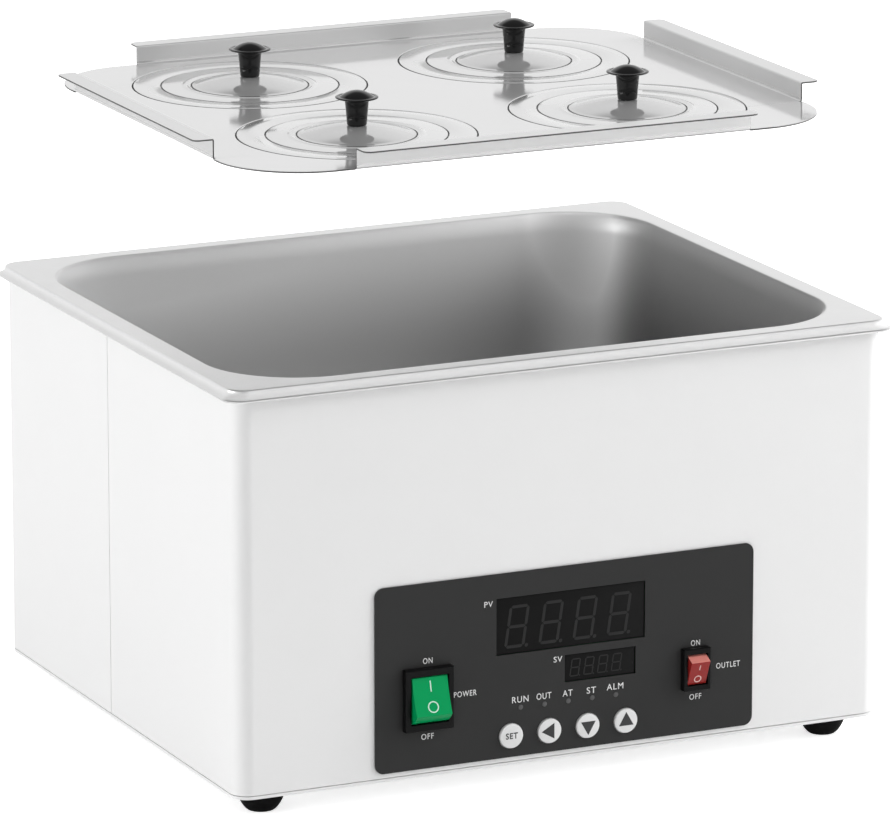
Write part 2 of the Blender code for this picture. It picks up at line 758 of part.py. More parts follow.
def drain():
    """A flanged tail in the tank's floor, a solenoid valve below it and a spigot at the rear."""
    tail = [
        (TAIL_BORE_R, 0.0),
        (TAIL_FLANGE_R, 0.0),
        (TAIL_FLANGE_R, -TAIL_FLANGE_T),
        (TAIL_R, -TAIL_FLANGE_T),
        (TAIL_R, -TAIL_L),
        (TAIL_BORE_R, -TAIL_L),
    ]
    at = (DRAIN_X, DRAIN_Y, tail_top())
    turned("drain_tail", tail, STEEL, TURNED_STEPS, at, closed=True)
    top = valve_top()
    body_h = VALVE_H + VALVE_SOCKET
    block = box((VALVE_W, VALVE_W, body_h))
    valve = add_part("solenoid_valve", block, BRASS, (DRAIN_X, DRAIN_Y, top - body_h / 2), smooth=False)
    coil = cylinder(COIL_R, COIL_L + CUT_OVERRUN, "X")
    coil_x = DRAIN_X - VALVE_W / 2 - COIL_L / 2 + CUT_OVERRUN / 2
    boolean(valve, add_cutter("coil_shape", coil, (coil_x, DRAIN_Y, valve_z())), "UNION")
    socket = cylinder(TAIL_R + GAP, VALVE_SOCKET + CUT_OVERRUN)
    socket_z = top - (VALVE_SOCKET - CUT_OVERRUN) / 2
    boolean(valve, add_cutter("tail_socket_cutter", socket, (DRAIN_X, DRAIN_Y, socket_z)))
    port = cylinder(SPIGOT_R + GAP, VALVE_SOCKET + CUT_OVERRUN, "Y")
    port_y = DRAIN_Y + VALVE_W / 2 - (VALVE_SOCKET - CUT_OVERRUN) / 2
    boolean(valve, add_cutter("spigot_socket_cutter", port, (DRAIN_X, port_y, valve_z())))
    inner_end = DRAIN_Y + VALVE_W / 2 - VALVE_SOCKET + GAP
    spigot_flange = REAR_Y + GAP
    out_end = REAR_Y + SPIGOT_OUT
    profile = [(SPIGOT_BORE_R, out_end)]
    for k in range(SPIGOT_BARBS):
        tip = out_end - k * SPIGOT_BARB_PITCH
        profile.append((SPIGOT_R, tip))
        profile.append((SPIGOT_BARB_R, tip - SPIGOT_BARB_PITCH * SPIGOT_BARB_SHARE))
        profile.append((SPIGOT_R, tip - SPIGOT_BARB_PITCH * SPIGOT_BARB_SHARE))
    profile += [
        (SPIGOT_R, spigot_flange + SPIGOT_FLANGE_T),
        (SPIGOT_FLANGE_R, spigot_flange + SPIGOT_FLANGE_T),
        (SPIGOT_FLANGE_R, spigot_flange),
        (SPIGOT_R, spigot_flange),
        (SPIGOT_R, inner_end),
        (SPIGOT_BORE_R, inner_end),
    ]
    at = (DRAIN_X, 0.0, valve_z())
    turned("drain_spigot", profile, STEEL, TURNED_STEPS, at, (-math.pi / 2, 0.0, 0.0), closed=True)


def mains_inlet():
    flange_mid = REAR_Y + GAP + INLET_FLANGE_T / 2
    flange = box((INLET_FLANGE_W, INLET_FLANGE_T, INLET_FLANGE_H))
    inlet = add_part("mains_inlet", flange, BLACK_PLASTIC, (INLET_X, flange_mid, INLET_Z), smooth=False)
    body_l = INLET_BODY_L + INLET_FLANGE_T / 2
    body = box((INLET_BODY_W, body_l, INLET_BODY_H))
    body_y = flange_mid - body_l / 2
    boolean(inlet, add_cutter("inlet_body_shape", body, (INLET_X, body_y, INLET_Z)), "UNION")
    face = REAR_Y + GAP + INLET_FLANGE_T
    socket_w = INLET_BODY_W - 2 * INLET_WALL
    socket_h = INLET_BODY_H - 2 * INLET_WALL
    socket = box((socket_w, INLET_SOCKET_DEPTH + CUT_OVERRUN, socket_h))
    socket_y = face - (INLET_SOCKET_DEPTH - CUT_OVERRUN) / 2
    boolean(inlet, add_cutter("inlet_socket_cutter", socket, (INLET_X, socket_y, INLET_Z)))
    pin_l = INLET_SOCKET_DEPTH - INLET_PIN_SHORT + CUT_OVERRUN
    pin_y = face - INLET_SOCKET_DEPTH - CUT_OVERRUN + pin_l / 2
    places = ((-1, -1), (0, 1), (1, -1))
    for k, (across, up) in enumerate(places):
        pin = box((INLET_PIN_W, pin_l, INLET_PIN_H))
        at = (INLET_X + across * INLET_PIN_PITCH, pin_y, INLET_Z + up * INLET_PIN_RAISE)
        boolean(inlet, add_cutter(f"inlet_pin_shape_{k + 1}", pin, at), "UNION")


def relay_module():
    z = BASE_Z + BASE_T + GAP + RELAY_H / 2
    block = box((RELAY_W, RELAY_D, RELAY_H))
    obj = add_part("relay_module", block, BLACK_PLASTIC, (RELAY_X, RELAY_Y, z), smooth=False)
    soften(obj, EDGE_R, 1)


def window_places():
    """The middle and size of each opening in the panel that holds a straight-sided piece."""
    return {
        "display_pv": (PV_X, PV_UP, PV_W, PV_H),
        "display_sv": (SV_X, SV_UP, SV_W, SV_H),
        "power_switch": (POWER_X, POWER_UP, *switch_body(POWER_WINDOW_W, POWER_WINDOW_H)),
        "outlet_switch": (OUTLET_X, OUTLET_UP, *switch_body(OUTLET_WINDOW_W, OUTLET_WINDOW_H)),
    }


def switch_body(window_w, window_h):
    return (window_w + 2 * SWITCH_BODY_WALL, window_h + 2 * SWITCH_BODY_END)


def lamp_places():
    names = ("run", "output", "tuning", "status", "alarm")
    middle = (len(names) - 1) / 2
    return {name: LAMP_X + (k - middle) * LAMP_PITCH for k, name in enumerate(names)}


def key_places():
    names = ("set", "left", "down", "up")
    middle = (len(names) - 1) / 2
    return {name: LAMP_X + (k - middle) * KEY_PITCH for k, name in enumerate(names)}


def control_panel():
    centre_up = PANEL_H / 2
    splines = [rounded_outline(PANEL_W / 2, PANEL_H / 2, PANEL_CORNER_R)]
    for x, up, width, height in window_places().values():
        half_x, half_y = width / 2 + GAP, height / 2 + GAP
        corner = [(half_x, half_y), (-half_x, half_y), (-half_x, -half_y), (half_x, -half_y)]
        splines.append(shifted(corner, x, up - centre_up))
    for x in lamp_places().values():
        splines.append(circle_points(x, LAMP_UP - centre_up, LAMP_R + GAP, LAMP_STEPS))
    for x in key_places().values():
        splines.append(circle_points(x, KEY_UP - centre_up, KEY_R + RUNNING_GAP, KEY_STEPS))
    middle_y = PANEL_BACK_Y - PANEL_T / 2
    at = (0.0, middle_y, PANEL_Z + centre_up)
    add_part("control_panel", flat_outline(splines, PANEL_T), PANEL_FILM, at, (math.pi / 2, 0.0, 0.0))


def control_board():
    """The board behind the panel, on four posts that reach the panel's back."""
    z = PANEL_Z + PANEL_H / 2
    y = BOARD_Y + BOARD_T / 2
    board = add_part("control_board", box((BOARD_W, BOARD_T, BOARD_H)), BOARD_GREEN, (PV_X, y, z), smooth=False)
    post_l = BOARD_BEHIND - GAP + BOARD_T / 2
    post_y = BOARD_Y + BOARD_T / 2 - post_l / 2
    for name, (sx, sy) in CORNERS.items():
        at = (
            PV_X + sx * (BOARD_W / 2 - POST_INSET),
            post_y,
            z + sy * (BOARD_H / 2 - POST_INSET),
        )
        post = cylinder(POST_R, post_l, "Y", SCREW_STEPS)
        boolean(board, add_cutter(f"board_post_shape_{name}", post, at), "UNION")


def displays():
    for name in ("display_pv", "display_sv"):
        x, up, width, height = window_places()[name]
        front = PANEL_FRONT_Y + WINDOW_RECESS
        back = BOARD_Y - GAP
        block = box((width, back - front, height))
        at = (x, (front + back) / 2, PANEL_Z + up)
        add_part(name, block, DISPLAY_DARK, at, smooth=False)


def lamps():
    back = BOARD_Y - GAP - PANEL_FRONT_Y
    collar = PANEL_T + GAP
    shoulder_share = 0.75
    profile = [
        (0.0, LAMP_PROUD),
        (LAMP_R * shoulder_share, LAMP_PROUD * shoulder_share),
        (LAMP_R, 0.0),
        (LAMP_R, -collar),
        (LAMP_COLLAR_R, -collar),
        (LAMP_COLLAR_R, -back),
        (0.0, -back),
    ]
    for name, x in lamp_places().items():
        at = (x, PANEL_FRONT_Y, PANEL_Z + LAMP_UP)
        turned(f"lamp_{name}", profile, LAMP_GREY, LAMP_STEPS, at, (math.pi / 2, 0.0, 0.0))


def keys():
    """Four round keys, each held behind the panel by its flange."""
    flange = PANEL_T + GAP
    stem = BOARD_BEHIND + PANEL_T - KEY_TRAVEL - GAP
    edge = KEY_PROUD / 4
    profile = [
        (0.0, KEY_PROUD),
        (KEY_R - edge, KEY_PROUD),
        (KEY_R, KEY_PROUD - edge),
        (KEY_R, -flange),
        (KEY_FLANGE_R, -flange),
        (KEY_FLANGE_R, -flange - KEY_FLANGE_T),
        (KEY_STEM_R, -flange - KEY_FLANGE_T),
        (KEY_STEM_R, -stem),
        (0.0, -stem),
    ]
    for name, x in key_places().items():
        at = (x, PANEL_FRONT_Y, PANEL_Z + KEY_UP)
        turned(f"key_{name}", profile, KEY_WHITE, KEY_STEPS, at, (math.pi / 2, 0.0, 0.0))


def rocker_outline(face, out, dish, arc_steps):
    """The rocker's side view as (forward, up) from its pivot: a dished face, and ends of so many steps."""
    reach = math.hypot(face / 2, out)
    corner = math.atan2(face / 2, out)
    upper = [corner + (ROCKER_WRAP - corner) * k / arc_steps for k in range(arc_steps + 1)]
    angles = upper + [-angle for angle in reversed(upper)]
    points = [(reach * math.cos(angle), reach * math.sin(angle)) for angle in angles]
    shares = [2 * k / FACE_STEPS - 1 for k in range(1, FACE_STEPS)]
    return points + [(out - dish * (1 - share**2), face / 2 * share) for share in shares]


def rocker_switch(name, rocker, sizes, material, tilt):
    """One switch: a bezel with its body in one piece, and a rocker on two trunnions in it."""
    x, up, bezel_w, bezel_h, window_w, window_h, face, out, pivot_back, side_gap, dish, arc_steps = sizes
    z = PANEL_Z + up
    bezel_back = PANEL_FRONT_Y - GAP
    bezel_front = bezel_back - BEZEL_PROUD
    bevel = box((bezel_w, BEZEL_PROUD, bezel_h))
    for vert in bevel.vertices:
        if vert.co.y < 0:
            vert.co.x -= math.copysign(BEZEL_CHAMFER, vert.co.x)
            vert.co.z -= math.copysign(BEZEL_CHAMFER, vert.co.z)
    at = (x, bezel_back - BEZEL_PROUD / 2, z)
    switch = add_part(name, bevel, BLACK_PLASTIC, at, smooth=False)
    reach = math.hypot(face / 2, out)
    pocket = pivot_back + reach + GAP
    body_w, body_h = switch_body(window_w, window_h)
    body_l = pocket + SWITCH_POCKET_WALL - BEZEL_PROUD / 2
    body = box((body_w, body_l, body_h))
    body_y = bezel_front + BEZEL_PROUD / 2 + body_l / 2
    boolean(switch, add_cutter(name + "_body_shape", body, (x, body_y, z)), "UNION")
    hollow = box((window_w, pocket + CUT_OVERRUN, window_h))
    hollow_y = bezel_front + (pocket - CUT_OVERRUN) / 2
    boolean(switch, add_cutter(name + "_pocket_cutter", hollow, (x, hollow_y, z)))
    relief = box((window_w, pocket - SWITCH_LIP, window_h + 2 * POCKET_RELIEF))
    relief_y = bezel_front + (SWITCH_LIP + pocket) / 2
    boolean(switch, add_cutter(name + "_relief_cutter", relief, (x, relief_y, z)))
    pivot_y = bezel_front + pivot_back
    bore_l = window_w + 2 * (TRUNNION_SEAT + GAP)
    bore = cylinder(TRUNNION_R + GAP, bore_l, "X", LAMP_STEPS)
    boolean(switch, add_cutter(name + "_trunnion_cutter", bore, (x, pivot_y, z)))
    outline = [(-forward, high) for forward, high in rocker_outline(face, out, dish, arc_steps)]
    body = flat_outline([outline], window_w - 2 * side_gap)
    bm = bmesh.new()
    bm.from_mesh(body)
    # The outline lies in X and Y; this stands it up with forward along -Y and its width along X
    stand = Matrix(((0.0, 0.0, 1.0), (1.0, 0.0, 0.0), (0.0, 1.0, 0.0)))
    bmesh.ops.transform(bm, matrix=stand.to_4x4(), verts=bm.verts)
    piece = add_part(rocker, mesh_of(bm), material, (x, pivot_y, z), (tilt, 0.0, 0.0), smooth=False)
    pin = cylinder(TRUNNION_R, window_w + 2 * TRUNNION_SEAT, "X", LAMP_STEPS)
    cutter = add_cutter(rocker + "_trunnion_shape", pin, (x, pivot_y, z), (tilt, 0.0, 0.0))
    boolean(piece, cutter, "UNION")


def switches():
    power = (
        POWER_X, POWER_UP, POWER_BEZEL_W, POWER_BEZEL_H, POWER_WINDOW_W, POWER_WINDOW_H,
        POWER_FACE, POWER_FACE_OUT, POWER_PIVOT_BACK, POWER_SIDE_GAP, POWER_DISH, POWER_ARC_STEPS,
    )
    outlet = (
        OUTLET_X, OUTLET_UP, OUTLET_BEZEL_W, OUTLET_BEZEL_H, OUTLET_WINDOW_W, OUTLET_WINDOW_H,
        OUTLET_FACE, OUTLET_FACE_OUT, OUTLET_PIVOT_BACK, OUTLET_SIDE_GAP, OUTLET_DISH, OUTLET_ARC_STEPS,
    )
    # The power rocker is shown pressed at its upper end, and the outlet rocker at its lower end
    rocker_switch("power_switch", "power_rocker", power, GREEN_PLASTIC, -POWER_TILT)
    rocker_switch("outlet_switch", "outlet_rocker", outlet, RED_PLASTIC, OUTLET_TILT)


def place_points():
    return {name: (sx * PLACE_X / 2, sy * PLACE_Y / 2) for name, (sx, sy) in CORNERS.items()}


def lid_outline():
    """The plate's outline, with a point at each end of the four straight walls."""
    outline = rounded_outline(PLATE_W / 2, PLATE_D / 2, PLATE_CORNER_R, PLATE_ARC_STEPS)
    quarter = PLATE_ARC_STEPS + 1
    wall_x, wall_y = LID_WALL_X / 2, LID_WALL_Y / 2
    half_x, half_y = PLATE_W / 2, PLATE_D / 2
    points = outline[:quarter] + [(wall_x, half_y), (-wall_x, half_y)]
    points += outline[quarter : 2 * quarter] + [(-half_x, wall_y), (-half_x, -wall_y)]
    points += outline[2 * quarter : 3 * quarter] + [(-wall_x, -half_y), (wall_x, -half_y)]
    points += outline[3 * quarter :] + [(half_x, -wall_y), (half_x, wall_y)]
    return points


def lid_plate():
    """One sheet: a plate with four stepped holes, and a wall with a lip along each side."""
    bm = bmesh.new()

    def loop(points):
        verts = [bm.verts.new((x, y, 0.0)) for x, y in points]
        return [bm.edges.new((verts[k], verts[(k + 1) % len(verts)])) for k in range(len(verts))]

    def extrude(edges, move, scale=None, centre=None):
        made = bmesh.ops.extrude_edge_only(bm, edges=edges)["geom"]
        verts = [item for item in made if isinstance(item, bmesh.types.BMVert)]
        if scale is not None:
            space = Matrix.Translation(-Vector(centre))
            bmesh.ops.scale(bm, vec=(scale, scale, 1.0), space=space, verts=verts)
        bmesh.ops.translate(bm, vec=move, verts=verts)
        return [item for item in made if isinstance(item, bmesh.types.BMEdge)
                and all(vert in verts for vert in item.verts)]

    rim_edges = loop(lid_outline())
    holes = []
    for x, y in place_points().values():
        holes.append((loop(circle_points(x, y, OUTER_HOLE_R, RING_STEPS)), (x, y, 0.0)))
    every = rim_edges + [edge for edges, _ in holes for edge in edges]
    bmesh.ops.triangle_fill(bm, use_beauty=True, use_dissolve=False, edges=every)
    ledge_share = (OUTER_HOLE_R - LEDGE) / OUTER_HOLE_R
    for edges, centre in holes:
        lower = extrude(edges, (0.0, 0.0, -SEAT_DROP))
        extrude(lower, (0.0, 0.0, 0.0), ledge_share, centre)
    half_x, half_y = PLATE_W / 2, PLATE_D / 2
    wall_x, wall_y = LID_WALL_X / 2, LID_WALL_Y / 2
    slack = LID_T / 10
    for edge in list(rim_edges):
        middle = (edge.verts[0].co + edge.verts[1].co) / 2
        along_x = abs(abs(middle.y) - half_y) < slack and abs(middle.x) < wall_x
        along_y = abs(abs(middle.x) - half_x) < slack and abs(middle.y) < wall_y
        if not (along_x or along_y):
            continue
        out = (0.0, math.copysign(LID_LIP, middle.y), 0.0)
        if along_y:
            out = (math.copysign(LID_LIP, middle.x), 0.0, 0.0)
        raised = extrude([edge], (0.0, 0.0, LID_WALL_H))
        extrude(raised, out)
    bmesh.ops.recalc_face_normals(bm, faces=bm.faces)
    bm.normal_update()
    flat = max(bm.faces, key=lambda face: face.calc_area())
    if flat.normal.z < 0:
        bmesh.ops.reverse_faces(bm, faces=bm.faces)
    obj = add_part("lid_plate", mesh_of(bm), LID_STEEL, (0.0, 0.0, LID_RAISED))
    thicken(obj, LID_T)


def ring_profile(outer, hole):
    """A flat ring with a stepped-down ledge round its hole, measured from its top face."""
    return [
        (hole, 0.0),
        (outer, 0.0),
        (outer, -RING_T),
        (hole + RING_T, -RING_T),
        (hole + RING_T, -SEAT_DROP - RING_T),
        (hole - LEDGE, -SEAT_DROP - RING_T),
        (hole - LEDGE, -SEAT_DROP),
        (hole, -SEAT_DROP),
    ]


def cap_profile(outer):
    """A shallow dome with a flat edge and a screw hole at its middle."""
    hole = KNOB_BORE_R
    top, under = [], []
    for share in (0.0, 0.45, 0.8, 1.0):
        radius = hole + (outer - CAP_EDGE_H - hole) * share
        rise = CAP_RISE * (1 - share * share)
        top.append((radius, rise))
        under.append((radius, rise - RING_T))
    edge = [(outer, 0.0), (outer, -RING_T)]
    return top + edge + list(reversed(under))


def knob_profile():
    """The knob from the top of its bore out, over the dome and down its stem."""
    flange_top = KNOB_STEM_H + KNOB_FLANGE_RISE + KNOB_FLANGE_T
    profile = []
    for share in (0.0, 0.45, 0.8, 1.0):
        rise = KNOB_DOME_H * (1 - share * share)
        profile.append((KNOB_DOME_R * share, flange_top - KNOB_FLANGE_T / 2 + rise))
    profile += [
        (KNOB_FLANGE_R - KNOB_FLANGE_T / 2, flange_top),
        (KNOB_FLANGE_R, flange_top - KNOB_FLANGE_T / 2),
        (KNOB_FLANGE_R - KNOB_FLANGE_T / 2, flange_top - KNOB_FLANGE_T),
        (KNOB_STEM_R_TOP, KNOB_STEM_H),
        (KNOB_STEM_R_LOW, 0.0),
        (KNOB_BORE_R, 0.0),
        (KNOB_BORE_R, KNOB_BORE_DEPTH),
        (0.0, KNOB_BORE_DEPTH),
    ]
    return profile


def lid_places():
    """In each place of the lid an outer ring, an inner ring and a cap with its knob and screw."""
    outer_r = OUTER_HOLE_R - RUNNING_GAP
    inner_r = MIDDLE_HOLE_R - RUNNING_GAP
    cap_r = INNER_HOLE_R - RUNNING_GAP
    knob_base = CAP_RISE + GAP
    screw = [
        (0.0, KNOB_SCREW_GRIP),
        (KNOB_SCREW_R, KNOB_SCREW_GRIP),
        (KNOB_SCREW_R, -RING_T - GAP),
        (KNOB_SCREW_HEAD_R, -RING_T - GAP),
        (KNOB_SCREW_HEAD_R, -RING_T - GAP - KNOB_SCREW_HEAD_H),
        (0.0, -RING_T - GAP - KNOB_SCREW_HEAD_H),
    ]
    for name, (x, y) in place_points().items():
        at = (x, y, LID_RAISED)
        turned(f"outer_ring_{name}", ring_profile(outer_r, MIDDLE_HOLE_R), LID_STEEL, RING_STEPS, at, closed=True)
        turned(f"inner_ring_{name}", ring_profile(inner_r, INNER_HOLE_R), LID_STEEL, RING_STEPS, at, closed=True)
        turned(f"cap_{name}", cap_profile(cap_r), LID_STEEL, RING_STEPS, at, closed=True)
        turned(f"knob_{name}", knob_profile(), BLACK_PLASTIC, KNOB_STEPS, (x, y, LID_RAISED + knob_base))
        turned(f"knob_screw_{name}", screw, ZINC, SCREW_STEPS, (x, y, LID_RAISED + CAP_RISE))


def build():
    housing_front()
    housing_rear()
    base_plate()
    feet_and_screws()
    tank()
    tank_insulation()
    heating_element()
    temperature_probe()
    drain()
    mains_inlet()
    relay_module()
    control_panel()
    control_board()
    displays()
    lamps()
    keys()
    switches()
    lid_plate()
    lid_places()


build()
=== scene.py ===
"""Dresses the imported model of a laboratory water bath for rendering, as a Blender add-on.

Metres, +Z up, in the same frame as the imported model. The floor is z = 0 and the panel faces -Y.
"""

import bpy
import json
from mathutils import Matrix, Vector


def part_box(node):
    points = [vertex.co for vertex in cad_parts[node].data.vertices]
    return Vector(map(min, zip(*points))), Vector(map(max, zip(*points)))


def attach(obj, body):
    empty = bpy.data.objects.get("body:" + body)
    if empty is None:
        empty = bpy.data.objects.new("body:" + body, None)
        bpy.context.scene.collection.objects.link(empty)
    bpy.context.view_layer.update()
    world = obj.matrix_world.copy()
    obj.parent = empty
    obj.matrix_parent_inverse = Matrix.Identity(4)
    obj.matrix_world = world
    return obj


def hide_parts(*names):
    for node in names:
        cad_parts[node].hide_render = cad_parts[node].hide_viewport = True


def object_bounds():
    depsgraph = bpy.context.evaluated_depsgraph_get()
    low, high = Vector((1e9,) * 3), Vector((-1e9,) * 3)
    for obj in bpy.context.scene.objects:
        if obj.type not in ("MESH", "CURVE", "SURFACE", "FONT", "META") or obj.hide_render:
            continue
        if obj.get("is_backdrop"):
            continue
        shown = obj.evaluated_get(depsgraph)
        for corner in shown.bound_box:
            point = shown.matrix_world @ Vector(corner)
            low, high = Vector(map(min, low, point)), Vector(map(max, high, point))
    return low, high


bl_info = {
    "name": "Laboratory Water Bath",
    "version": (1, 0, 0),
    "blender": (4, 5, 0),
    "location": "View3D > Sidebar > Water Bath",
    "description": "Models and finishes a water bath with a four-place ring lid round its packed model",
    "category": "Add Mesh",
}

import json
import math
from functools import partial

import bmesh
import bpy
from mathutils import Matrix, Vector

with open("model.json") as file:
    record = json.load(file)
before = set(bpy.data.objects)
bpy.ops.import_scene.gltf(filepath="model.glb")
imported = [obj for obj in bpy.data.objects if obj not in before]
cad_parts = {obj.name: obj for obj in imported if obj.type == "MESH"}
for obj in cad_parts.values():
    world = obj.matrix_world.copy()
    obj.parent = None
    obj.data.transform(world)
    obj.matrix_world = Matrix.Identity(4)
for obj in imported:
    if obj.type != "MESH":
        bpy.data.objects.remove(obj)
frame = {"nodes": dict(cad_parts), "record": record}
CAD_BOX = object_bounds()

PLACES = ("front_left", "front_right", "rear_left", "rear_right")
LAMPS = ("run", "output", "tuning", "status", "alarm")
KEYS = ("set", "left", "down", "up")
SHIFT_Y = (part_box("tank")[0].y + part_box("tank")[1].y) / 2
RIM_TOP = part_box("tank")[1].z
PANEL_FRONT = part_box("control_panel")[0].y
PANEL_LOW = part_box("control_panel")[0].z
LID_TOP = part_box("outer_ring_front_left")[1].z
JOINTS = {joint["name"]: joint for joint in frame["record"]["behaviour"]["joints"]}
# How near two places have to be to count as one
NEAR = 0.00001
# How far a round cutter reaches to each side of the sheet that it cuts
THROUGH = 0.01


# Small modelling steps


def deselect():
    if bpy.context.mode != "OBJECT":
        bpy.ops.object.mode_set(mode="OBJECT")
    bpy.ops.object.select_all(action="DESELECT")


def pick(piece, *more):
    """Selects a piece alone, or with others, and makes it the active one."""
    deselect()
    for other in (piece, *more):
        other.select_set(True)
    bpy.context.view_layer.objects.active = piece


def named(name):
    """The piece that was just added, under its name."""
    piece = bpy.context.active_object
    piece.name = name
    return piece


def edit(piece, mode="FACE"):
    """Opens a piece in edit mode with nothing selected."""
    pick(piece)
    bpy.ops.object.mode_set(mode="EDIT")
    bpy.ops.mesh.select_mode(type=mode)
    bpy.ops.mesh.select_all(action="DESELECT")


def leave():
    bpy.ops.object.mode_set(mode="OBJECT")


def take_all():
    bpy.ops.mesh.select_all(action="SELECT")


def choose(piece, kind, test):
    """In edit mode, selects the faces, edges or vertices whose middle and element pass a test."""
    bpy.ops.mesh.select_all(action="DESELECT")
    mesh = bmesh.from_edit_mesh(piece.data)
    for item in {"FACE": mesh.faces, "EDGE": mesh.edges, "VERT": mesh.verts}[kind]:
        if kind == "FACE":
            middle = item.calc_center_median()
        elif kind == "EDGE":
            middle = (item.verts[0].co + item.verts[1].co) / 2
        else:
            middle = item.co
        if test(middle, item):
            item.select_set(True)
    mesh.select_flush_mode()
    bmesh.update_edit_mesh(piece.data)


def runs_along(axis, length):
    """A test for edges that reach further than a length along an axis."""
    axis = "XYZ".index(axis)
    return lambda _, edge: abs((edge.verts[0].co - edge.verts[1].co)[axis]) > length


def draw_edges(x, y, z):
    bpy.ops.mesh.extrude_edges_move(TRANSFORM_OT_translate={"value": (x, y, z)})


def draw_point(x, y, z):
    bpy.ops.mesh.extrude_vertices_move(TRANSFORM_OT_translate={"value": (x, y, z)})


def draw_faces(x, y, z):
    bpy.ops.mesh.extrude_region_move(TRANSFORM_OT_translate={"value": (x, y, z)})


def round_edges(offset, segments, affect="EDGES"):
    bpy.ops.mesh.bevel(offset=offset, segments=segments, affect=affect)


def close_seams(piece, distance=0.000002):
    pick(piece)
    bpy.ops.object.mode_set(mode="EDIT")
    take_all()
    bpy.ops.mesh.remove_doubles(threshold=distance)
    bpy.ops.mesh.normals_make_consistent(inside=False)
    leave()


def settle(piece):
    """Moves a piece's place, turn and size into its mesh."""
    pick(piece)
    bpy.ops.object.transform_apply(location=True, rotation=True, scale=True)
    return piece


def apply_modifier(piece, kind, **values):
    pick(piece)
    modifier = piece.modifiers.new(kind.lower(), kind)
    for key, value in values.items():
        setattr(modifier, key, value)
    bpy.ops.object.modifier_apply(modifier=modifier.name)


def thicken(piece, sheet, offset=-1.0, **values):
    apply_modifier(piece, "SOLIDIFY", thickness=sheet, offset=offset, use_even_offset=True, **values)


def soften(piece, width, segments=3, angle=35.0):
    apply_modifier(
        piece, "BEVEL", width=width, segments=segments, limit_method="ANGLE",
        angle_limit=math.radians(angle), miter_outer="MITER_ARC", harden_normals=False,
    )


def shade(piece, angle=32.0):
    pick(piece)
    bpy.ops.object.shade_smooth_by_angle(angle=math.radians(angle))
    return piece


def shade_even(piece, angle=32.0):
    """Smooth shading in which each large flat face stays flat up to its rounded edges."""
    shade(piece, angle)
    apply_modifier(piece, "WEIGHTED_NORMAL", keep_sharp=True)


def cut(piece, cutter, operation="DIFFERENCE"):
    """Cuts one piece with another, or joins them, and clears the other away."""
    apply_modifier(piece, "BOOLEAN", object=cutter, operation=operation, solver="EXACT")
    bpy.data.objects.remove(cutter, do_unlink=True)


def block(name, size, centre):
    deselect()
    bpy.ops.mesh.primitive_cube_add(size=1, location=centre, scale=size)
    return settle(named(name))


def rounded_block(name, size, centre, radius, along="Z", segments=12):
    """A block whose four edges that run along one axis are rounded."""
    piece = block(name, size, centre)
    edit(piece, "EDGE")
    choose(piece, "EDGE", runs_along(along, size["XYZ".index(along)] / 2))
    round_edges(radius, segments)
    leave()
    return piece


def first_point(name, place):
    """A new piece that is one point, open in edit mode to be drawn on."""
    deselect()
    bpy.ops.mesh.primitive_plane_add(size=0.001, location=(0, 0, 0))
    piece = named(name)
    bpy.ops.object.mode_set(mode="EDIT")
    bpy.ops.mesh.select_mode(type="VERT")
    bpy.ops.mesh.merge(type="CENTER")
    bpy.ops.transform.translate(value=place)
    return piece


def spun(name, profile, centre=(0, 0, 0), facing="Z", steps=96, closed=False):
    """Spins a profile of (radius, height) points into a piece whose height runs along an axis."""
    piece = first_point(name, (profile[0][0], 0, profile[0][1]))
    points = list(profile) + ([profile[0]] if closed else [])
    for (r0, z0), (r1, z1) in zip(points, points[1:]):
        draw_point(r1 - r0, 0, z1 - z0)
    take_all()
    bpy.ops.mesh.spin(steps=steps, angle=math.tau, center=(0, 0, 0), axis=(0, 0, 1))
    leave()
    close_seams(piece)
    piece.location = centre
    piece.rotation_euler = {"Z": (0, 0, 0), "-Y": (math.pi / 2, 0, 0), "Y": (-math.pi / 2, 0, 0)}[facing]
    return settle(piece)


def drum(radius, half):
    """The profile of a plain round cutter that reaches the same way to both sides."""
    return [(0, half), (radius, half), (radius, -half), (0, -half)]


def outline_block(name, points, width):
    """A piece about the origin with a side view of (forward, up) points and a width along X."""
    piece = first_point(name, (-width / 2, -points[0][0], points[0][1]))
    for (f0, u0), (f1, u1) in zip(points, points[1:]):
        draw_point(0, f0 - f1, u1 - u0)
    take_all()
    bpy.ops.mesh.edge_face_add()
    draw_faces(width, 0, 0)
    leave()
    close_seams(piece)
    return piece


def rounded_loop(name, half_x, half_y, radius, z, segments=16):
    """The edge of a rounded rectangle about the tank's middle, with no face in it."""
    deselect()
    bpy.ops.mesh.primitive_plane_add(size=2, location=(0, SHIFT_Y, z))
    piece = named(name)
    piece.scale = (half_x, half_y, 1)
    settle(piece)
    edit(piece, "VERT")
    take_all()
    round_edges(radius, segments, "VERTICES")
    bpy.ops.mesh.select_mode(type="FACE")
    take_all()
    bpy.ops.mesh.delete(type="ONLY_FACE")
    leave()
    return piece


def grow_loop(steps):
    """Draws the selected loop of edges through (half x, half y, z) steps about the tank's middle."""
    for (x0, y0, z0), (x1, y1, z1) in zip(steps, steps[1:]):
        draw_edges(0, 0, z1 - z0)
        bpy.ops.transform.resize(
            value=(x1 / x0, y1 / y0, 1), center_override=(0, SHIFT_Y, 0), orient_type="GLOBAL"
        )


def copy_to(piece, name, move):
    """A copy of a piece with its own mesh, moved to another place."""
    pick(piece)
    bpy.ops.object.duplicate(linked=False)
    other = named(name)
    other.location = move
    return settle(other)


def repeated(names, spots, make):
    """Models the first of some like pieces and copies it to the other spots."""
    first = None
    for name, spot in zip(names, spots):
        if first is None:
            origin, first = spot, make(name, spot)
            yield name, first
        else:
            yield name, copy_to(first, name, spot - origin)


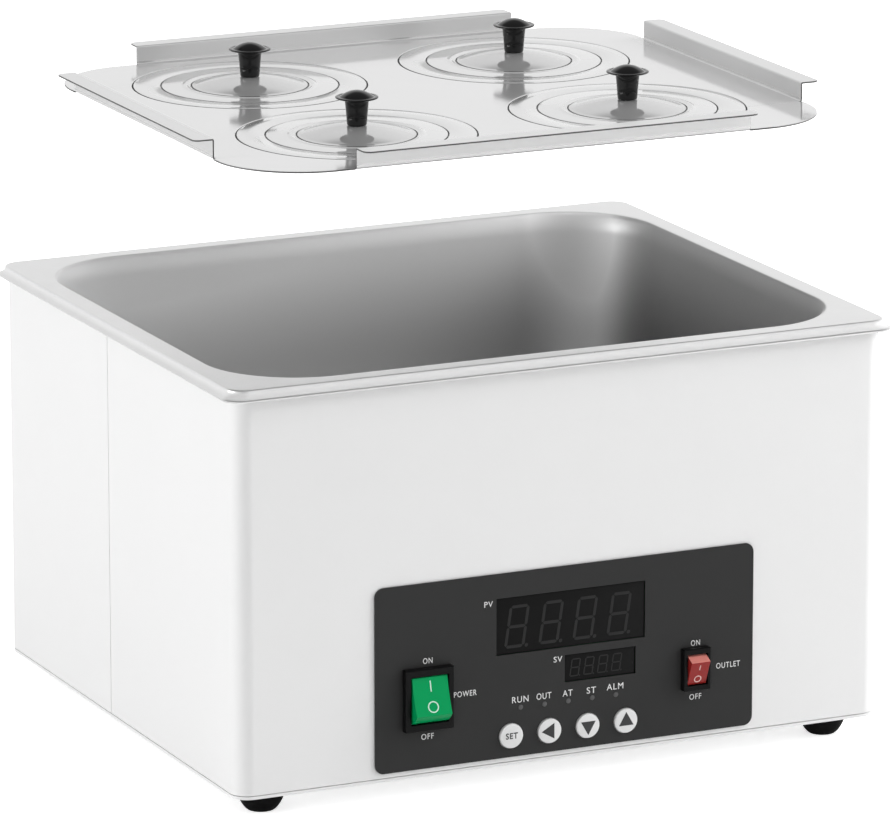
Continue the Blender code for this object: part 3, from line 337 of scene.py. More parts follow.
def join(piece, *others):
    pick(piece, *others)
    bpy.ops.object.join()
    return piece


def dress(piece, body, material, slot, *nodes):
    """Gives a piece its body, the nodes it stands for and its material, or those its faces number."""
    faces = piece.data.polygons
    numbers = [face.material_index for face in faces]
    materials = material if isinstance(material, tuple) else (material,)
    piece.data.materials.clear()
    for item in materials:
        piece.data.materials.append(item)
    faces.foreach_set("material_index", [min(number, len(materials) - 1) for number in numbers])
    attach(piece, body)
    if nodes:
        piece.name = "bath_" + nodes[0]
        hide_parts(*nodes)
    return piece


def middle_of(node):
    low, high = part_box(node)
    return (low + high) / 2


def arc(steps):
    """The angles of a quarter turn in some steps, without its start."""
    return [math.pi / 2 * k / steps for k in range(1, steps + 1)]


# Nodes


def feed(tree, level, socket):
    """Gives a socket its level, which is a number or another node's output."""
    if isinstance(level, (int, float)):
        socket.default_value = level
    else:
        tree.links.new(level, socket)


def math_step(tree, operation, first, second=0.0):
    """The result of a Math node on two levels."""
    step = tree.nodes.new("ShaderNodeMath")
    step.operation = operation
    feed(tree, first, step.inputs[0])
    feed(tree, second, step.inputs[1])
    return step.outputs["Value"]


def blend(tree, share, low, high):
    """A level that is low at share 0 and high at share 1."""
    mix = tree.nodes.new("ShaderNodeMix")
    for key, level in (("Factor", share), ("A", low), ("B", high)):
        feed(tree, level, mix.inputs[key])
    return mix.outputs["Result"]


def ramp(tree, value, start, end, low=0.0, high=1.0):
    """A level that runs smoothly from low to high while a value runs from start to end."""
    level = tree.nodes.new("ShaderNodeMapRange")
    level.interpolation_type = "SMOOTHSTEP"
    for key, number in (("From Min", start), ("From Max", end), ("To Min", low), ("To Max", high)):
        level.inputs[key].default_value = number
    tree.links.new(value, level.inputs["Value"])
    return level.outputs["Result"]


def axes(tree, place):
    """The X, Y and Z levels of a place."""
    split = tree.nodes.new("ShaderNodeSeparateXYZ")
    tree.links.new(place, split.inputs["Vector"])
    return tuple(split.outputs)


# Finishes: the colour or the setting that holds it, the roughness, and what differs from the plain values

PLAIN = {
    "metallic": 0.0, "tone": 0.04, "spread": 0.03, "grain": 300.0, "bump": 0.05, "depth": 0.0001,
    "shine": 0.5,
}
FINISHES = {
    "white powder coat": ("paint", 0.42, dict(tone=0.008, spread=0.05, grain=900, bump=0.22, depth=0.00008)),
    "satin tank steel": (
        "tank_steel", 0.30, dict(metallic=0.72, tone=0.03, spread=0.06, grain=1700, bump=0.10, depth=0.00005)
    ),
    "polished lid steel": (
        "lid_steel", 0.09, dict(metallic=0.56, tone=0.012, spread=0.02, grain=600, bump=0.03, depth=0.00003)
    ),
    # Painted shade: the caps are the lid's polished steel with a darker colour
    "polished cap steel": (
        (0.60, 0.60, 0.60), 0.09,
        dict(metallic=0.56, tone=0.012, spread=0.02, grain=600, bump=0.03, depth=0.00003),
    ),
    # Painted shade: the sheet's cut edges and the faces round the edge of each ring and cap are near black,
    # as shade in the gaps and at the sheet's edges
    "dull cut edge of the steel": ((0.085, 0.085, 0.085), 0.45, dict(metallic=0.40, tone=0.10, grain=900)),
    "black plastic": (
        (0.0030, 0.0030, 0.0032), 0.08, dict(tone=0.15, spread=0.03, grain=700, bump=0.02, shine=0.38)
    ),
    "satin black plastic": (
        (0.0050, 0.0050, 0.0052), 0.32, dict(tone=0.12, spread=0.05, grain=900, bump=0.06, shine=0.12)
    ),
    "black rubber": (
        (0.0042, 0.0042, 0.0042), 0.60, dict(tone=0.25, spread=0.10, grain=500, bump=0.12, shine=0.08)
    ),
    "charcoal panel film": (
        "panel", 0.50, dict(tone=0.03, spread=0.04, grain=1500, bump=0.06, depth=0.00004, shine=0.14)
    ),
    "dark display window": (
        (0.0080, 0.0080, 0.0080), 0.25, dict(tone=0.06, spread=0.02, grain=200, shine=0.08)
    ),
    "unlit display segment": ((0.030, 0.030, 0.030), 0.45, dict(tone=0.08, grain=600, shine=0.08)),
    "pale print": ((0.80, 0.80, 0.80), 0.50, dict(tone=0.03, grain=900)),
    "dark print": ((0.030, 0.030, 0.032), 0.50, dict(tone=0.05, grain=900)),
    "white key plastic": ((0.80, 0.80, 0.80), 0.42, dict(tone=0.015, grain=800)),
    "green rocker plastic": ("green", 0.18, dict(tone=0.12, spread=0.04, grain=220, bump=0.02, shine=0.12)),
    "red rocker plastic": ("red", 0.16, dict(tone=0.22, spread=0.04, grain=260, bump=0.02, shine=0.25)),
    # Painted highlight: a paler red for the rocker's facets that face up, where the light overhead would
    # shine
    "pale red rocker plastic": (
        (0.62, 0.21, 0.18), 0.20, dict(tone=0.10, spread=0.04, grain=260, bump=0.02, shine=0.3)
    ),
    "print on green": ((0.60, 0.86, 0.74), 0.40, dict(tone=0.03, grain=900)),
    "print on red": ((0.84, 0.55, 0.52), 0.40, dict(tone=0.03, grain=900)),
    "unlit lamp lens": ((0.105, 0.105, 0.105), 0.35, dict(tone=0.10, grain=900, shine=0.15)),
    "zinc-plated steel": ((0.55, 0.55, 0.56), 0.35, dict(metallic=1.0, tone=0.08, grain=500)),
    "cast brass": ((0.60, 0.44, 0.18), 0.34, dict(metallic=1.0, tone=0.08)),
    "turned brass": ((0.66, 0.50, 0.22), 0.26, dict(metallic=1.0, tone=0.05, grain=400)),
    "heater tube steel": ((0.40, 0.38, 0.37), 0.38, dict(metallic=1.0, tone=0.10, grain=200)),
    "coated circuit board": ((0.02, 0.13, 0.05), 0.40, dict(tone=0.15, grain=500)),
    "mineral wool": ((0.52, 0.47, 0.34), 0.95, dict(tone=0.20, grain=350, bump=0.6, depth=0.001)),
}


def finish(name):
    """A finish from the table, with small changes of tone and gloss over it and a fine grain."""
    material = bpy.data.materials.get(name)
    if material:
        return material
    colour, roughness, changes = FINISHES[name]
    look = {**PLAIN, **changes}
    if isinstance(colour, str):
        colour = getattr(bpy.context.scene.bath_finishes, colour)
    material = bpy.data.materials.new(name)
    material.use_nodes = True
    material.diffuse_color = (*colour, 1)
    nodes, links = material.node_tree.nodes, material.node_tree.links
    shader = nodes["Principled BSDF"].inputs
    place = nodes.new("ShaderNodeTexCoord").outputs["Object"]

    def noise(scale, detail):
        grain = nodes.new("ShaderNodeTexNoise")
        grain.inputs["Scale"].default_value = scale
        grain.inputs["Detail"].default_value = detail
        links.new(place, grain.inputs["Vector"])
        return grain.outputs["Fac"]

    fine, broad = noise(look["grain"], 4), noise(look["grain"] / 20, 3)
    tones = nodes.new("ShaderNodeMix")
    tones.data_type = "RGBA"
    for key, share in (("A", 1 - look["tone"]), ("B", 1 + look["tone"])):
        tones.inputs[key].default_value = (*(min(1.0, max(0.0, c * share)) for c in colour), 1)
    links.new(broad, tones.inputs["Factor"])
    links.new(tones.outputs["Result"], shader["Base Color"])
    gloss = nodes.new("ShaderNodeMapRange")
    gloss.inputs["To Min"].default_value = max(0.0, roughness - look["spread"])
    gloss.inputs["To Max"].default_value = min(1.0, roughness + look["spread"])
    links.new(fine, gloss.inputs["Value"])
    links.new(gloss.outputs["Result"], shader["Roughness"])
    relief = nodes.new("ShaderNodeBump")
    relief.inputs["Strength"].default_value = look["bump"]
    relief.inputs["Distance"].default_value = look["depth"]
    links.new(fine, relief.inputs["Height"])
    links.new(relief.outputs["Normal"], shader["Normal"])
    shader["Metallic"].default_value = look["metallic"]
    shader["Specular IOR Level"].default_value = look["shine"]
    return material


def tank_steel():
    """Satin steel with the rim and the skirt's bend and lip shinier, and painted light and shade inside:
    painted shade down in the tank and on the right wall, painted light towards the left, and a painted
    highlight band in the rear right corner.
    """
    name = "satin tank steel"
    if name in bpy.data.materials:
        return bpy.data.materials[name]
    material = finish(name)
    tree = material.node_tree
    links = tree.links
    shader = tree.nodes["Principled BSDF"].inputs
    x, y, z = axes(tree, tree.nodes["Texture Coordinate"].outputs["Object"])
    combine = partial(math_step, tree)
    level = partial(ramp, tree)
    low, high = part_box("tank")
    reach = 0.008
    side = combine("GREATER_THAN", combine("ABSOLUTE", x), high.x - reach)
    depth = combine("ABSOLUTE", combine("SUBTRACT", y, SHIFT_Y))
    skirt = combine("MAXIMUM", side, combine("GREATER_THAN", depth, (high.y - low.y) / 2 - reach))
    pale = combine("MAXIMUM", level(z, RIM_TOP - 0.0005, RIM_TOP - 0.00003), skirt)
    # A painted highlight band stands in the rear right corner, between the rear wall in painted light and the
    # right wall in painted shade
    painted_highlight_rear = level(y, SHIFT_Y + 0.08, SHIFT_Y + 0.11)
    painted_highlight_band = combine("MULTIPLY", level(x, 0.104, 0.138, 0.0, 0.62), painted_highlight_rear)
    # Painted light and shade across the tank: brighter towards the left, darker on the right wall
    painted_light_across = level(x, -0.15, 0.10, 1.15, 0.88)
    painted_shade_right = level(x, 0.142, 0.156, 1.0, 0.36)
    share = combine("MULTIPLY", combine("MULTIPLY", painted_light_across, painted_shade_right), combine("ADD", painted_highlight_band, 1.0))
    # Painted shade down in the tank: the inside grows darker away from the rim
    share = combine("MULTIPLY", share, level(z, RIM_TOP - 0.065, RIM_TOP - 0.003, 0.84, 1.50))
    # The inside's colour is darker than the rim's as painted shade, and the painted light and shade above
    # scale it
    inside = tree.nodes.new("ShaderNodeVectorMath")
    inside.operation = "SCALE"
    inside.inputs[0].default_value = bpy.context.scene.bath_finishes.tank_inside
    links.new(combine("MINIMUM", share, 1.45), inside.inputs["Scale"])
    tones = tree.nodes.new("ShaderNodeMix")
    tones.data_type = "RGBA"
    links.new(pale, tones.inputs["Factor"])
    links.new(inside.outputs["Vector"], tones.inputs["A"])
    links.new(shader["Base Color"].links[0].from_socket, tones.inputs["B"])
    links.new(tones.outputs["Result"], shader["Base Color"])
    below_bend = combine("LESS_THAN", z, RIM_TOP - 0.0009)
    above_lip = combine("GREATER_THAN", z, RIM_TOP - 0.0040)
    dull = combine("MULTIPLY", combine("MULTIPLY", below_bend, above_lip), skirt)
    shine = combine("SUBTRACT", 1.0, combine("MULTIPLY", dull, 0.85))
    links.new(combine("MULTIPLY", blend(tree, pale, 0.30, 0.80), shine), shader["Metallic"])
    rough = shader["Roughness"].links[0].from_socket
    links.new(combine("ADD", rough, blend(tree, pale, 0.14, 0.0)), shader["Roughness"])
    return material


def lid_steel():
    """Polished steel whose folded walls are a little duller than the plate."""
    name = "polished lid steel"
    if name in bpy.data.materials:
        return bpy.data.materials[name]
    material = finish(name)
    tree = material.node_tree
    x, y, z = axes(tree, tree.nodes["Texture Coordinate"].outputs["Object"])
    combine = partial(math_step, tree)
    low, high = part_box("lid_plate")
    middle = (low.y + high.y) / 2
    reach = 0.020
    side = combine("GREATER_THAN", combine("ABSOLUTE", x), high.x - reach)
    depth = combine("ABSOLUTE", combine("SUBTRACT", y, middle))
    wall = combine("MAXIMUM", side, combine("GREATER_THAN", depth, high.y - middle - reach))
    wall = combine("MULTIPLY", wall, combine("GREATER_THAN", z, LID_TOP + 0.0015))
    rough = tree.nodes["Principled BSDF"].inputs["Roughness"]
    duller = combine("ADD", rough.links[0].from_socket, combine("MULTIPLY", wall, 0.20))
    tree.links.new(duller, rough)
    return material


# Settings


def colour_prop(name, description, *default):
    return bpy.props.FloatVectorProperty(
        name=name, description=description, default=default, size=3, subtype="COLOR", min=0, max=1
    )


def length_prop(name, description, default):
    return bpy.props.FloatProperty(
        name=name, description=description, default=default, min=0, unit="LENGTH", subtype="DISTANCE",
        precision=5,
    )


def opening_prop(name, description, *default):
    return bpy.props.FloatVectorProperty(
        name=name, description=description, default=default, size=2, unit="LENGTH", precision=5
    )


def angle_prop(name, description, degrees):
    return bpy.props.FloatProperty(
        name=name, description=description, default=math.radians(degrees), subtype="ANGLE"
    )


def number_prop(name, description, default):
    return bpy.props.FloatProperty(name=name, description=description, default=default, min=0)


class BathFinishes(bpy.types.PropertyGroup):
    paint: colour_prop("Paint", "Powder coat of the casing", 0.86, 0.86, 0.86)
    tank_steel: colour_prop("Tank steel", "Satin steel of the tank's rim", 0.80, 0.80, 0.80)
    # Painted shade: the inside's steel is darker than the rim's, and tank_steel() scales it with painted
    # light and shade
    tank_inside: colour_prop("Tank inside", "Satin steel down in the tank", 0.66, 0.66, 0.66)
    lid_steel: colour_prop("Lid steel", "Polished steel of the lid", 0.715, 0.715, 0.715)
    panel: colour_prop("Panel film", "Film on the control panel", 0.034, 0.034, 0.034)
    green: colour_prop("Power rocker", "Plastic of the power rocker", 0.0, 0.33, 0.10)
    red: colour_prop("Outlet rocker", "Plastic of the outlet rocker", 0.30, 0.020, 0.018)


class BathCasing(bpy.types.PropertyGroup):
    sheet: length_prop("Sheet", "Thickness of the casing's sheet", 0.001)
    corner: length_prop("Corner radius", "Radius of the casing's upright corners", 0.009)
    seam: length_prop("Seam", "Gap between the front and rear sheets", 0.0004)
    lap: length_prop("Lap", "How far the rear sheet runs on inside the front one", 0.008)


class BathTank(bpy.types.PropertyGroup):
    flange: length_prop("Flange", "From the skirt's bend to the tank's wall", 0.0115)
    opening_corner: length_prop("Opening corner", "Radius of the opening's corners", 0.044)
    rim_corner: length_prop("Rim corner", "Radius of the rim's corners", 0.0095)
    roll: length_prop("Roll", "Radius of the roll at the inner edge", 0.0025)
    flare: length_prop("Flare", "How far the skirt stands out", 0.003)
    skirt: length_prop("Skirt", "Height of the skirt", 0.0045)
    sheet: length_prop("Sheet", "Thickness of the tank's sheet", 0.001)
    mouth: length_prop("Mouth", "Depth of the flared mouth below the rim", 0.0098)
    mouth_flare: length_prop("Mouth flare", "How far the mouth flares out", 0.0012)
    floor_curve: length_prop("Floor curve", "Radius between the wall and the floor", 0.012)


class BathLid(bpy.types.PropertyGroup):
    width: length_prop("Width", "Width of the plate", 0.305)
    depth: length_prop("Depth", "Depth of the plate", 0.2612)
    corner: length_prop("Corner radius", "Radius of the plate's corners", 0.042)
    sheet: length_prop("Sheet", "Thickness of the lid's sheet", 0.0008)
    wall: length_prop("Wall", "From the plate's top to the lip's top", 0.0092)
    lip: length_prop("Lip", "Width of the lips", 0.0093)
    front_wall: length_prop("Front wall", "Length of the front and rear walls", 0.202)
    side_wall: length_prop("Side wall", "Length of the side walls", 0.168)
    outer_hole: length_prop("Outer hole", "Radius of the holes in the plate", 0.0567)
    middle_hole: length_prop("Middle hole", "Radius of the holes in the outer rings", 0.0431)
    inner_hole: length_prop("Inner hole", "Radius of the holes in the inner rings", 0.0285)
    ledge: length_prop("Ledge", "Width of the ledges that the rings rest on", 0.0036)
    drop: length_prop("Drop", "Depth of the ledges", 0.0011)
    gap: length_prop("Gap", "Gap round each ring and cap", 0.0004)
    bead: length_prop("Bead", "Height of the soft bead on each inner ring", 0.0004)


class BathPanel(bpy.types.PropertyGroup):
    corner: length_prop("Corner radius", "Radius of the panel's corners", 0.0045)
    digit: length_prop("Digit", "Height of the upper display's digits", 0.0206)
    small_digit: length_prop("Small digit", "Height of the lower display's digits", 0.0087)
    slant: angle_prop("Slant", "Slant of the digits", 8.5)
    print_height: length_prop("Print height", "Height of the words by the switches and displays", 0.0027)
    label_height: length_prop("Label height", "Height of the words over the lamps", 0.0030)
    power_window: opening_prop(
        "Power window", "Width and height of the large switch's opening", 0.0193, 0.0231
    )
    outlet_window: opening_prop(
        "Outlet window", "Width and height of the small switch's opening", 0.0107, 0.0153
    )


# Casing, base and feet


def casing_sheets(casing):
    """The front and rear sheets as one sleeve, parted at the seam."""
    low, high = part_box("housing_front")
    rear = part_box("housing_rear")[1]
    size = Vector((high.x - low.x, rear.y - low.y, high.z - low.z))
    centre = Vector((0, (low.y + rear.y) / 2, (low.z + high.z) / 2))
    seam = high.y
    front = rounded_block("housing_front", size, centre, casing.corner, "Z", 14)
    edit(front)
    choose(front, "FACE", lambda _, f: abs(f.normal.z) > 0.9)
    bpy.ops.mesh.delete(type="ONLY_FACE")
    leave()
    back = copy_to(front, "housing_rear", (0, 0, 0))
    edit(front)
    take_all()
    bpy.ops.mesh.bisect(plane_co=(0, seam, 0), plane_no=(0, 1, 0), clear_outer=True)
    leave()
    edit(back)
    take_all()
    start = seam + casing.seam
    bpy.ops.mesh.bisect(plane_co=(0, start, 0), plane_no=(0, 1, 0), clear_inner=True)
    play = 0.0003
    upright = runs_along("Z", 0.01)
    for side in (-1, 1):
        bpy.ops.mesh.select_mode(type="EDGE")
        choose(back, "EDGE", lambda m, e: m.x * side > 0 and abs(m.y - seam - casing.seam) < NEAR
               and upright(m, e))
        draw_edges(-side * (casing.sheet + play), 0, 0)
        draw_edges(0, -casing.lap, 0)
    leave()
    for piece in (front, back):
        thicken(piece, casing.sheet)
    return front, back


def panel_window():
    """A cutter for the opening behind the panel, which the panel's edge covers."""
    low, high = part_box("control_panel")
    cover = 0.0056
    size = (high.x - low.x - cover, 0.01, high.z - low.z - cover)
    return rounded_block("window cutter", size, (0, high.y, (low.z + high.z) / 2), 0.0045, "Y", 6)


def base_tray():
    """The base plate with the raised edge that the casing's sheets stand round."""
    low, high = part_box("base_plate")
    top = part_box("housing_front")[0].z - 0.0003
    middle = (low.y + high.y) / 2
    size = (high.x - low.x, high.y - low.y, top - low.z)
    base = rounded_block("base_plate", size, (0, middle, (low.z + top) / 2), 0.009, "Z", 14)
    inset, overlap, edge = 0.0026, 0.0001, 0.001
    size = (size[0] - 2 * inset, size[1] - 2 * inset, high.z - top)
    tray = rounded_block("tray", size, (0, middle, (high.z + top) / 2 - overlap), 0.0064, "Z", 8)
    edit(tray)
    choose(tray, "FACE", lambda _, f: f.normal.z > 0.9)
    bpy.ops.mesh.inset(thickness=edge)
    draw_faces(0, 0, top - high.z)
    leave()
    cut(base, tray, "UNION")
    soften(base, 0.0002, 2)
    shade_even(base)
    return base


class BATH_OT_casing(bpy.types.Operator):
    """Folds the casing's sheets, cuts their openings and lays the base plate under them"""

    bl_idname = "bath.casing"
    bl_label = "Casing"

    def execute(self, context):
        front, back = casing_sheets(context.scene.bath_casing)
        cut(front, panel_window())
        rear_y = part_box("housing_rear")[1].y
        through, flange = 0.012, 0.0034
        low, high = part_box("mains_inlet")
        size = (high.x - low.x - flange, through, high.z - low.z - flange)
        cut(back, block("inlet cutter", size, ((low.x + high.x) / 2, rear_y, (low.z + high.z) / 2)))
        spigot = middle_of("drain_spigot")
        cut(back, spun("spigot cutter", drum(0.0053, through / 2), (spigot.x, rear_y, spigot.z), "-Y", 32))
        vent, pitch, middle_x, middle_z = (0.003, through, 0.030), 0.0075, 0.020, 0.060
        for k in range(7):
            x = middle_x + (k - 3) * pitch
            cut(back, rounded_block("vent cutter", vent, (x, rear_y, middle_z), 0.00149, "Y", 6))
        for piece, node in ((front, "housing_front"), (back, "housing_rear")):
            soften(piece, 0.00025, 2)
            shade_even(piece)
            dress(piece, "bath", finish("white powder coat"), "paint", node)
        dress(base_tray(), "bath", finish("white powder coat"), "paint", "base_plate")
        return {"FINISHED"}


class BATH_OT_feet(bpy.types.Operator):
    """Turns the domed rubber feet"""

    bl_idname = "bath.feet"
    bl_label = "Feet"

    def execute(self, context):
        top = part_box("foot_front_left")[1].z
        recess = top - 0.0075
        profile = [
            (0, recess), (0.0022, recess), (0.0022, top), (0.0106, top), (0.011, top - 0.0004),
            (0.011, 0.0082), (0.01075, 0.0066), (0.0101, 0.0050), (0.0092, 0.0034), (0.0082, 0.0019),
            (0.0073, 0.0009), (0.0064, 0.0002), (0.0056, 0.0), (0, 0),
        ]
        names = ["foot_" + place for place in PLACES]
        spots = [Vector((*middle_of(name).xy, 0)) for name in names]
        feet = repeated(names, spots, lambda name, at: shade(spun(name, profile, at, steps=64), 40))
        for name, foot in feet:
            dress(foot, "bath", finish("black rubber"), "foot_rubber", name)
        return {"FINISHED"}


# Tank


def inner_steps(tank, open_x, open_y, floor):
    """The way from the rim round the roll, down the flared mouth and the wall, to the floor."""
    roll, flare = tank.roll, tank.mouth_flare
    places = [(roll, RIM_TOP)]
    turn = math.pi / 2 - math.atan(2 * flare / (tank.mouth - roll))
    roll_steps, mouth_steps, floor_steps = 8, 12, 8
    for k in range(1, roll_steps + 1):
        angle = turn * k / roll_steps
        places.append((roll * (1 - math.sin(angle)), RIM_TOP - roll * (1 - math.cos(angle))))
    start_in, start_down = -places[-1][0], roll * (1 - math.cos(turn))
    for k in range(1, mouth_steps + 1):
        share = k / mouth_steps
        inward = start_in + (flare - start_in) * (1 - (1 - share) ** 2)
        places.append((-inward, RIM_TOP - start_down - (tank.mouth - start_down) * share))
    curve = tank.floor_curve
    for angle in (0, *arc(floor_steps)):
        places.append((-flare - curve * (1 - math.cos(angle)), floor + curve * (1 - math.sin(angle))))
    return [(open_x + out, open_y + out, z) for out, z in places]


def skirt_steps(tank, half_x, half_y, bend):
    """The way from the rim round its outer bend and down the flared skirt."""
    places = [(-bend, RIM_TOP)]
    for angle in arc(4):
        places.append((-bend * (1 - math.sin(angle)), RIM_TOP - bend * (1 - math.cos(angle))))
    steps, curl = 8, 2.2
    for k in range(1, steps + 1):
        share = k / steps
        places.append((tank.flare * share ** curl, RIM_TOP - bend - (tank.skirt - bend) * share))
    return [(half_x + out, half_y + out, z) for out, z in places]


class BATH_OT_tank(bpy.types.Operator):
    """Presses the tank with its rolled rim, flared skirt, flared mouth and curved floor"""

    bl_idname = "bath.tank"
    bl_label = "Tank"

    def execute(self, context):
        tank = context.scene.bath_tank
        low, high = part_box("tank")
        half_x, half_y = high.x - tank.flare, (high.y - low.y) / 2 - tank.flare
        open_x, open_y = half_x - tank.flange, half_y - tank.flange
        floor = low.z + tank.sheet
        bend, roll, play = 0.0008, tank.roll, 0.0001
        outer = rounded_loop("tank", half_x - bend, half_y - bend, tank.rim_corner - bend, RIM_TOP)
        inner = rounded_loop("opening", open_x + roll, open_y + roll, tank.opening_corner + roll, RIM_TOP)
        piece = join(outer, inner)
        edit(piece, "EDGE")
        take_all()
        bpy.ops.mesh.bridge_edge_loops()
        limit_x, limit_y = open_x + roll + play, open_y + roll + play
        choose(piece, "EDGE", lambda m, e: len(e.link_faces) == 1 and abs(m.x) < limit_x
               and abs(m.y - SHIFT_Y) < limit_y)
        grow_loop(inner_steps(tank, open_x, open_y, floor))
        bpy.ops.mesh.edge_face_add()
        choose(piece, "EDGE", lambda m, e: len(e.link_faces) == 1 and m.z > RIM_TOP - play)
        grow_loop(skirt_steps(tank, half_x, half_y, bend))
        leave()
        close_seams(piece)
        edit(piece)
        choose(piece, "FACE", lambda m, f: abs(m.z - RIM_TOP) < NEAR and f.normal.z < 0)
        if any(face.select for face in bmesh.from_edit_mesh(piece.data).faces):
            take_all()
            bpy.ops.mesh.flip_normals()
        leave()
        thicken(piece, tank.sheet * 0.9)
        tail = middle_of("drain_tail")
        cut(piece, spun("drain cutter", drum(0.008, THROUGH), (tail.x, tail.y, floor), steps=48))
        shade_even(piece, 30)
        dress(piece, "bath", tank_steel(), "tank_steel", "tank")
        return {"FINISHED"}


# Lid


def wall_path(lid):
    """How far a wall starts inside the plate's edge, and its way up to the lip as (outward, up) steps."""
    bend = 0.0009
    path = [(0.0, 0.0)]
    for angle in arc(6):
        path.append((bend * math.sin(angle), bend * (1 - math.cos(angle))))
    top = lid.wall - bend
    for angle in (0, *arc(6)):
        path.append((bend + bend * (1 - math.cos(angle)), top + bend * math.sin(angle)))
    path.append((bend + lid.lip + lid.sheet, lid.wall))
    return bend + lid.sheet, path


def fold_walls(plate, lid):
    """Parts the plate's edges at the ends of its walls, and folds the walls and lips up from them."""
    relief = 0.0005
    for axis, half, middle in ((0, lid.front_wall / 2, 0), (1, lid.side_wall / 2, SHIFT_Y)):
        for place in (half, half + relief, -half, -half - relief):
            point, normal = [0, 0, LID_TOP], [0, 0, 0]
            point[axis], normal[axis] = middle + place, 1
            take_all()
            bpy.ops.mesh.bisect(plane_co=point, plane_no=normal)
    inset, path = wall_path(lid)
    bpy.ops.mesh.select_mode(type="EDGE")
    for axis, half, reach in ((1, lid.front_wall / 2, lid.depth / 2), (0, lid.side_wall / 2, lid.width / 2)):
        for side in (-1, 1):
            def on_edge(middle, item):
                place = (middle.x, middle.y - SHIFT_Y)
                return abs(place[axis] - side * reach) < NEAR and abs(place[1 - axis]) < half

            choose(plate, "EDGE", on_edge)
            move = [0, 0, 0]
            move[axis] = -side * inset
            bpy.ops.transform.translate(value=move)
            for (a0, z0), (a1, z1) in zip(path, path[1:]):
                move = [0, 0, z1 - z0]
                move[axis] = side * (a1 - a0)
                draw_edges(*move)


def round_tips(plate, lid):
    bpy.ops.mesh.select_mode(type="VERT")
    play, radius = 0.0001, 0.0034
    tip_x, tip_y = lid.width / 2 + lid.lip - play, lid.depth / 2 + lid.lip - play
    choose(plate, "VERT", lambda m, v: abs(m.x) > tip_x or abs(m.y - SHIFT_Y) > tip_y)
    round_edges(radius, 6, "VERTICES")


def cut_hole(plate, lid, centre):
    """Cuts one hole in the plate and rounds its upper edge."""
    radius, play = lid.outer_hole, 0.0001
    cut(plate, spun("hole cutter", drum(radius, THROUGH), (centre.x, centre.y, LID_TOP), steps=128))
    edit(plate, "EDGE")
    choose(plate, "EDGE", lambda m, e: m.z > LID_TOP - play and e.is_manifold
           and all(abs(math.dist(v.co[:2], centre[:2]) - radius) < play for v in e.verts))
    round_edges(0.00035, 4)
    leave()


def lid_sheet(lid):
    """The plate and its four walls with lips, folded from one sheet, with four holes."""
    deselect()
    bpy.ops.mesh.primitive_plane_add(size=1, location=(0, SHIFT_Y, LID_TOP))
    plate = named("lid_plate")
    plate.scale = (lid.width, lid.depth, 1)
    settle(plate)
    edit(plate, "VERT")
    take_all()
    round_edges(lid.corner, 24, "VERTICES")
    fold_walls(plate, lid)
    round_tips(plate, lid)
    leave()
    face = max(plate.data.polygons, key=lambda f: f.area)
    # The cut faces round the sheet take the near-black painted shade
    for material in (lid_steel(), finish("dull cut edge of the steel")):
        plate.data.materials.append(material)
    thicken(plate, lid.sheet, -1.0 if face.normal.z > 0 else 1.0, material_offset_rim=1)
    close_seams(plate, 0.0000005)
    for place in PLACES:
        cut_hole(plate, lid, middle_of("cap_" + place))
    return plate


def ledge_ring(lid, centre):
    """The stepped ledge that hangs inside a hole of the plate, with a small radius at its bend."""
    hole, ledge, sheet, drop, bend = lid.outer_hole, lid.ledge, lid.sheet, lid.drop, 0.00035
    profile = [
        (hole - NEAR, -0.00040), (hole - NEAR, -drop + bend), (hole - bend, -drop), (hole - ledge, -drop),
        (hole - ledge, -drop - sheet), (hole + sheet * 0.6, -drop - sheet),
        (hole + sheet, -drop - sheet * 0.4), (hole + sheet, -0.00045),
    ]
    return spun("ledge", profile, centre, steps=128, closed=True)


class BATH_OT_lid(bpy.types.Operator):
    """Folds the lid's plate, with its stepped holes, walls and lips"""

    bl_idname = "bath.lid"
    bl_label = "Lid Plate"

    def execute(self, context):
        lid = context.scene.bath_lid
        plate = lid_sheet(lid)
        ledges = [ledge_ring(lid, (*middle_of("cap_" + place).xy, LID_TOP)) for place in PLACES]
        piece = join(plate, *ledges)
        soften(piece, 0.00026, 3, 50)
        shade_even(piece, 30)
        steels = lid_steel(), finish("dull cut edge of the steel")
        dress(piece, "lid", steels, "lid_steel", "lid_plate")
        return {"FINISHED"}


def ring_profile(outer, hole, bead, lid):
    """A flat ring with a stepped ledge below it, and on the inner ring a soft bead by its hole."""
    sheet, drop, edge, round_edge = lid.sheet, lid.drop, 0.0003, 0.0005
    top = [(hole, -edge), (hole + edge * 0.3, -edge * 0.3), (hole + edge, 0.0)]
    bead_middle, bead_half, bead_steps = hole + 0.0025, 0.0020, 12
    for k in range(bead_steps + 1 if bead else 0):
        share = k / bead_steps
        top.append((bead_middle - bead_half + 2 * bead_half * share, bead * math.sin(math.pi * share) ** 2))
    for angle in (0, *arc(4)):
        top.append((outer - round_edge * (1 - math.sin(angle)), -round_edge * (1 - math.cos(angle))))
    under = [
        (outer, -sheet), (hole + sheet, -sheet), (hole + sheet, -drop - sheet * 0.5),
        (hole + sheet * 0.5, -drop - sheet), (hole - lid.ledge, -drop - sheet), (hole - lid.ledge, -drop),
        (hole - edge, -drop), (hole, -drop + edge),
    ]
    return top + under


def cap_profile(outer, lid):
    """A shallow dome whose edge turns down to a flat seat, with a hole for the knob's screw."""
    hole, edge, rise, sheet, steps = 0.0019, 0.0012, 0.0042, lid.sheet, 16
    top = []
    for k in range(steps + 1):
        share = k / steps
        top.append((hole + (outer - edge - hole) * share, rise * (1 - share ** 2.0)))
    under = [(radius, z - sheet) for radius, z in reversed(top)]
    return top + [(outer - 0.0003, 0.0), (outer, -0.0003), (outer, -sheet)] + under


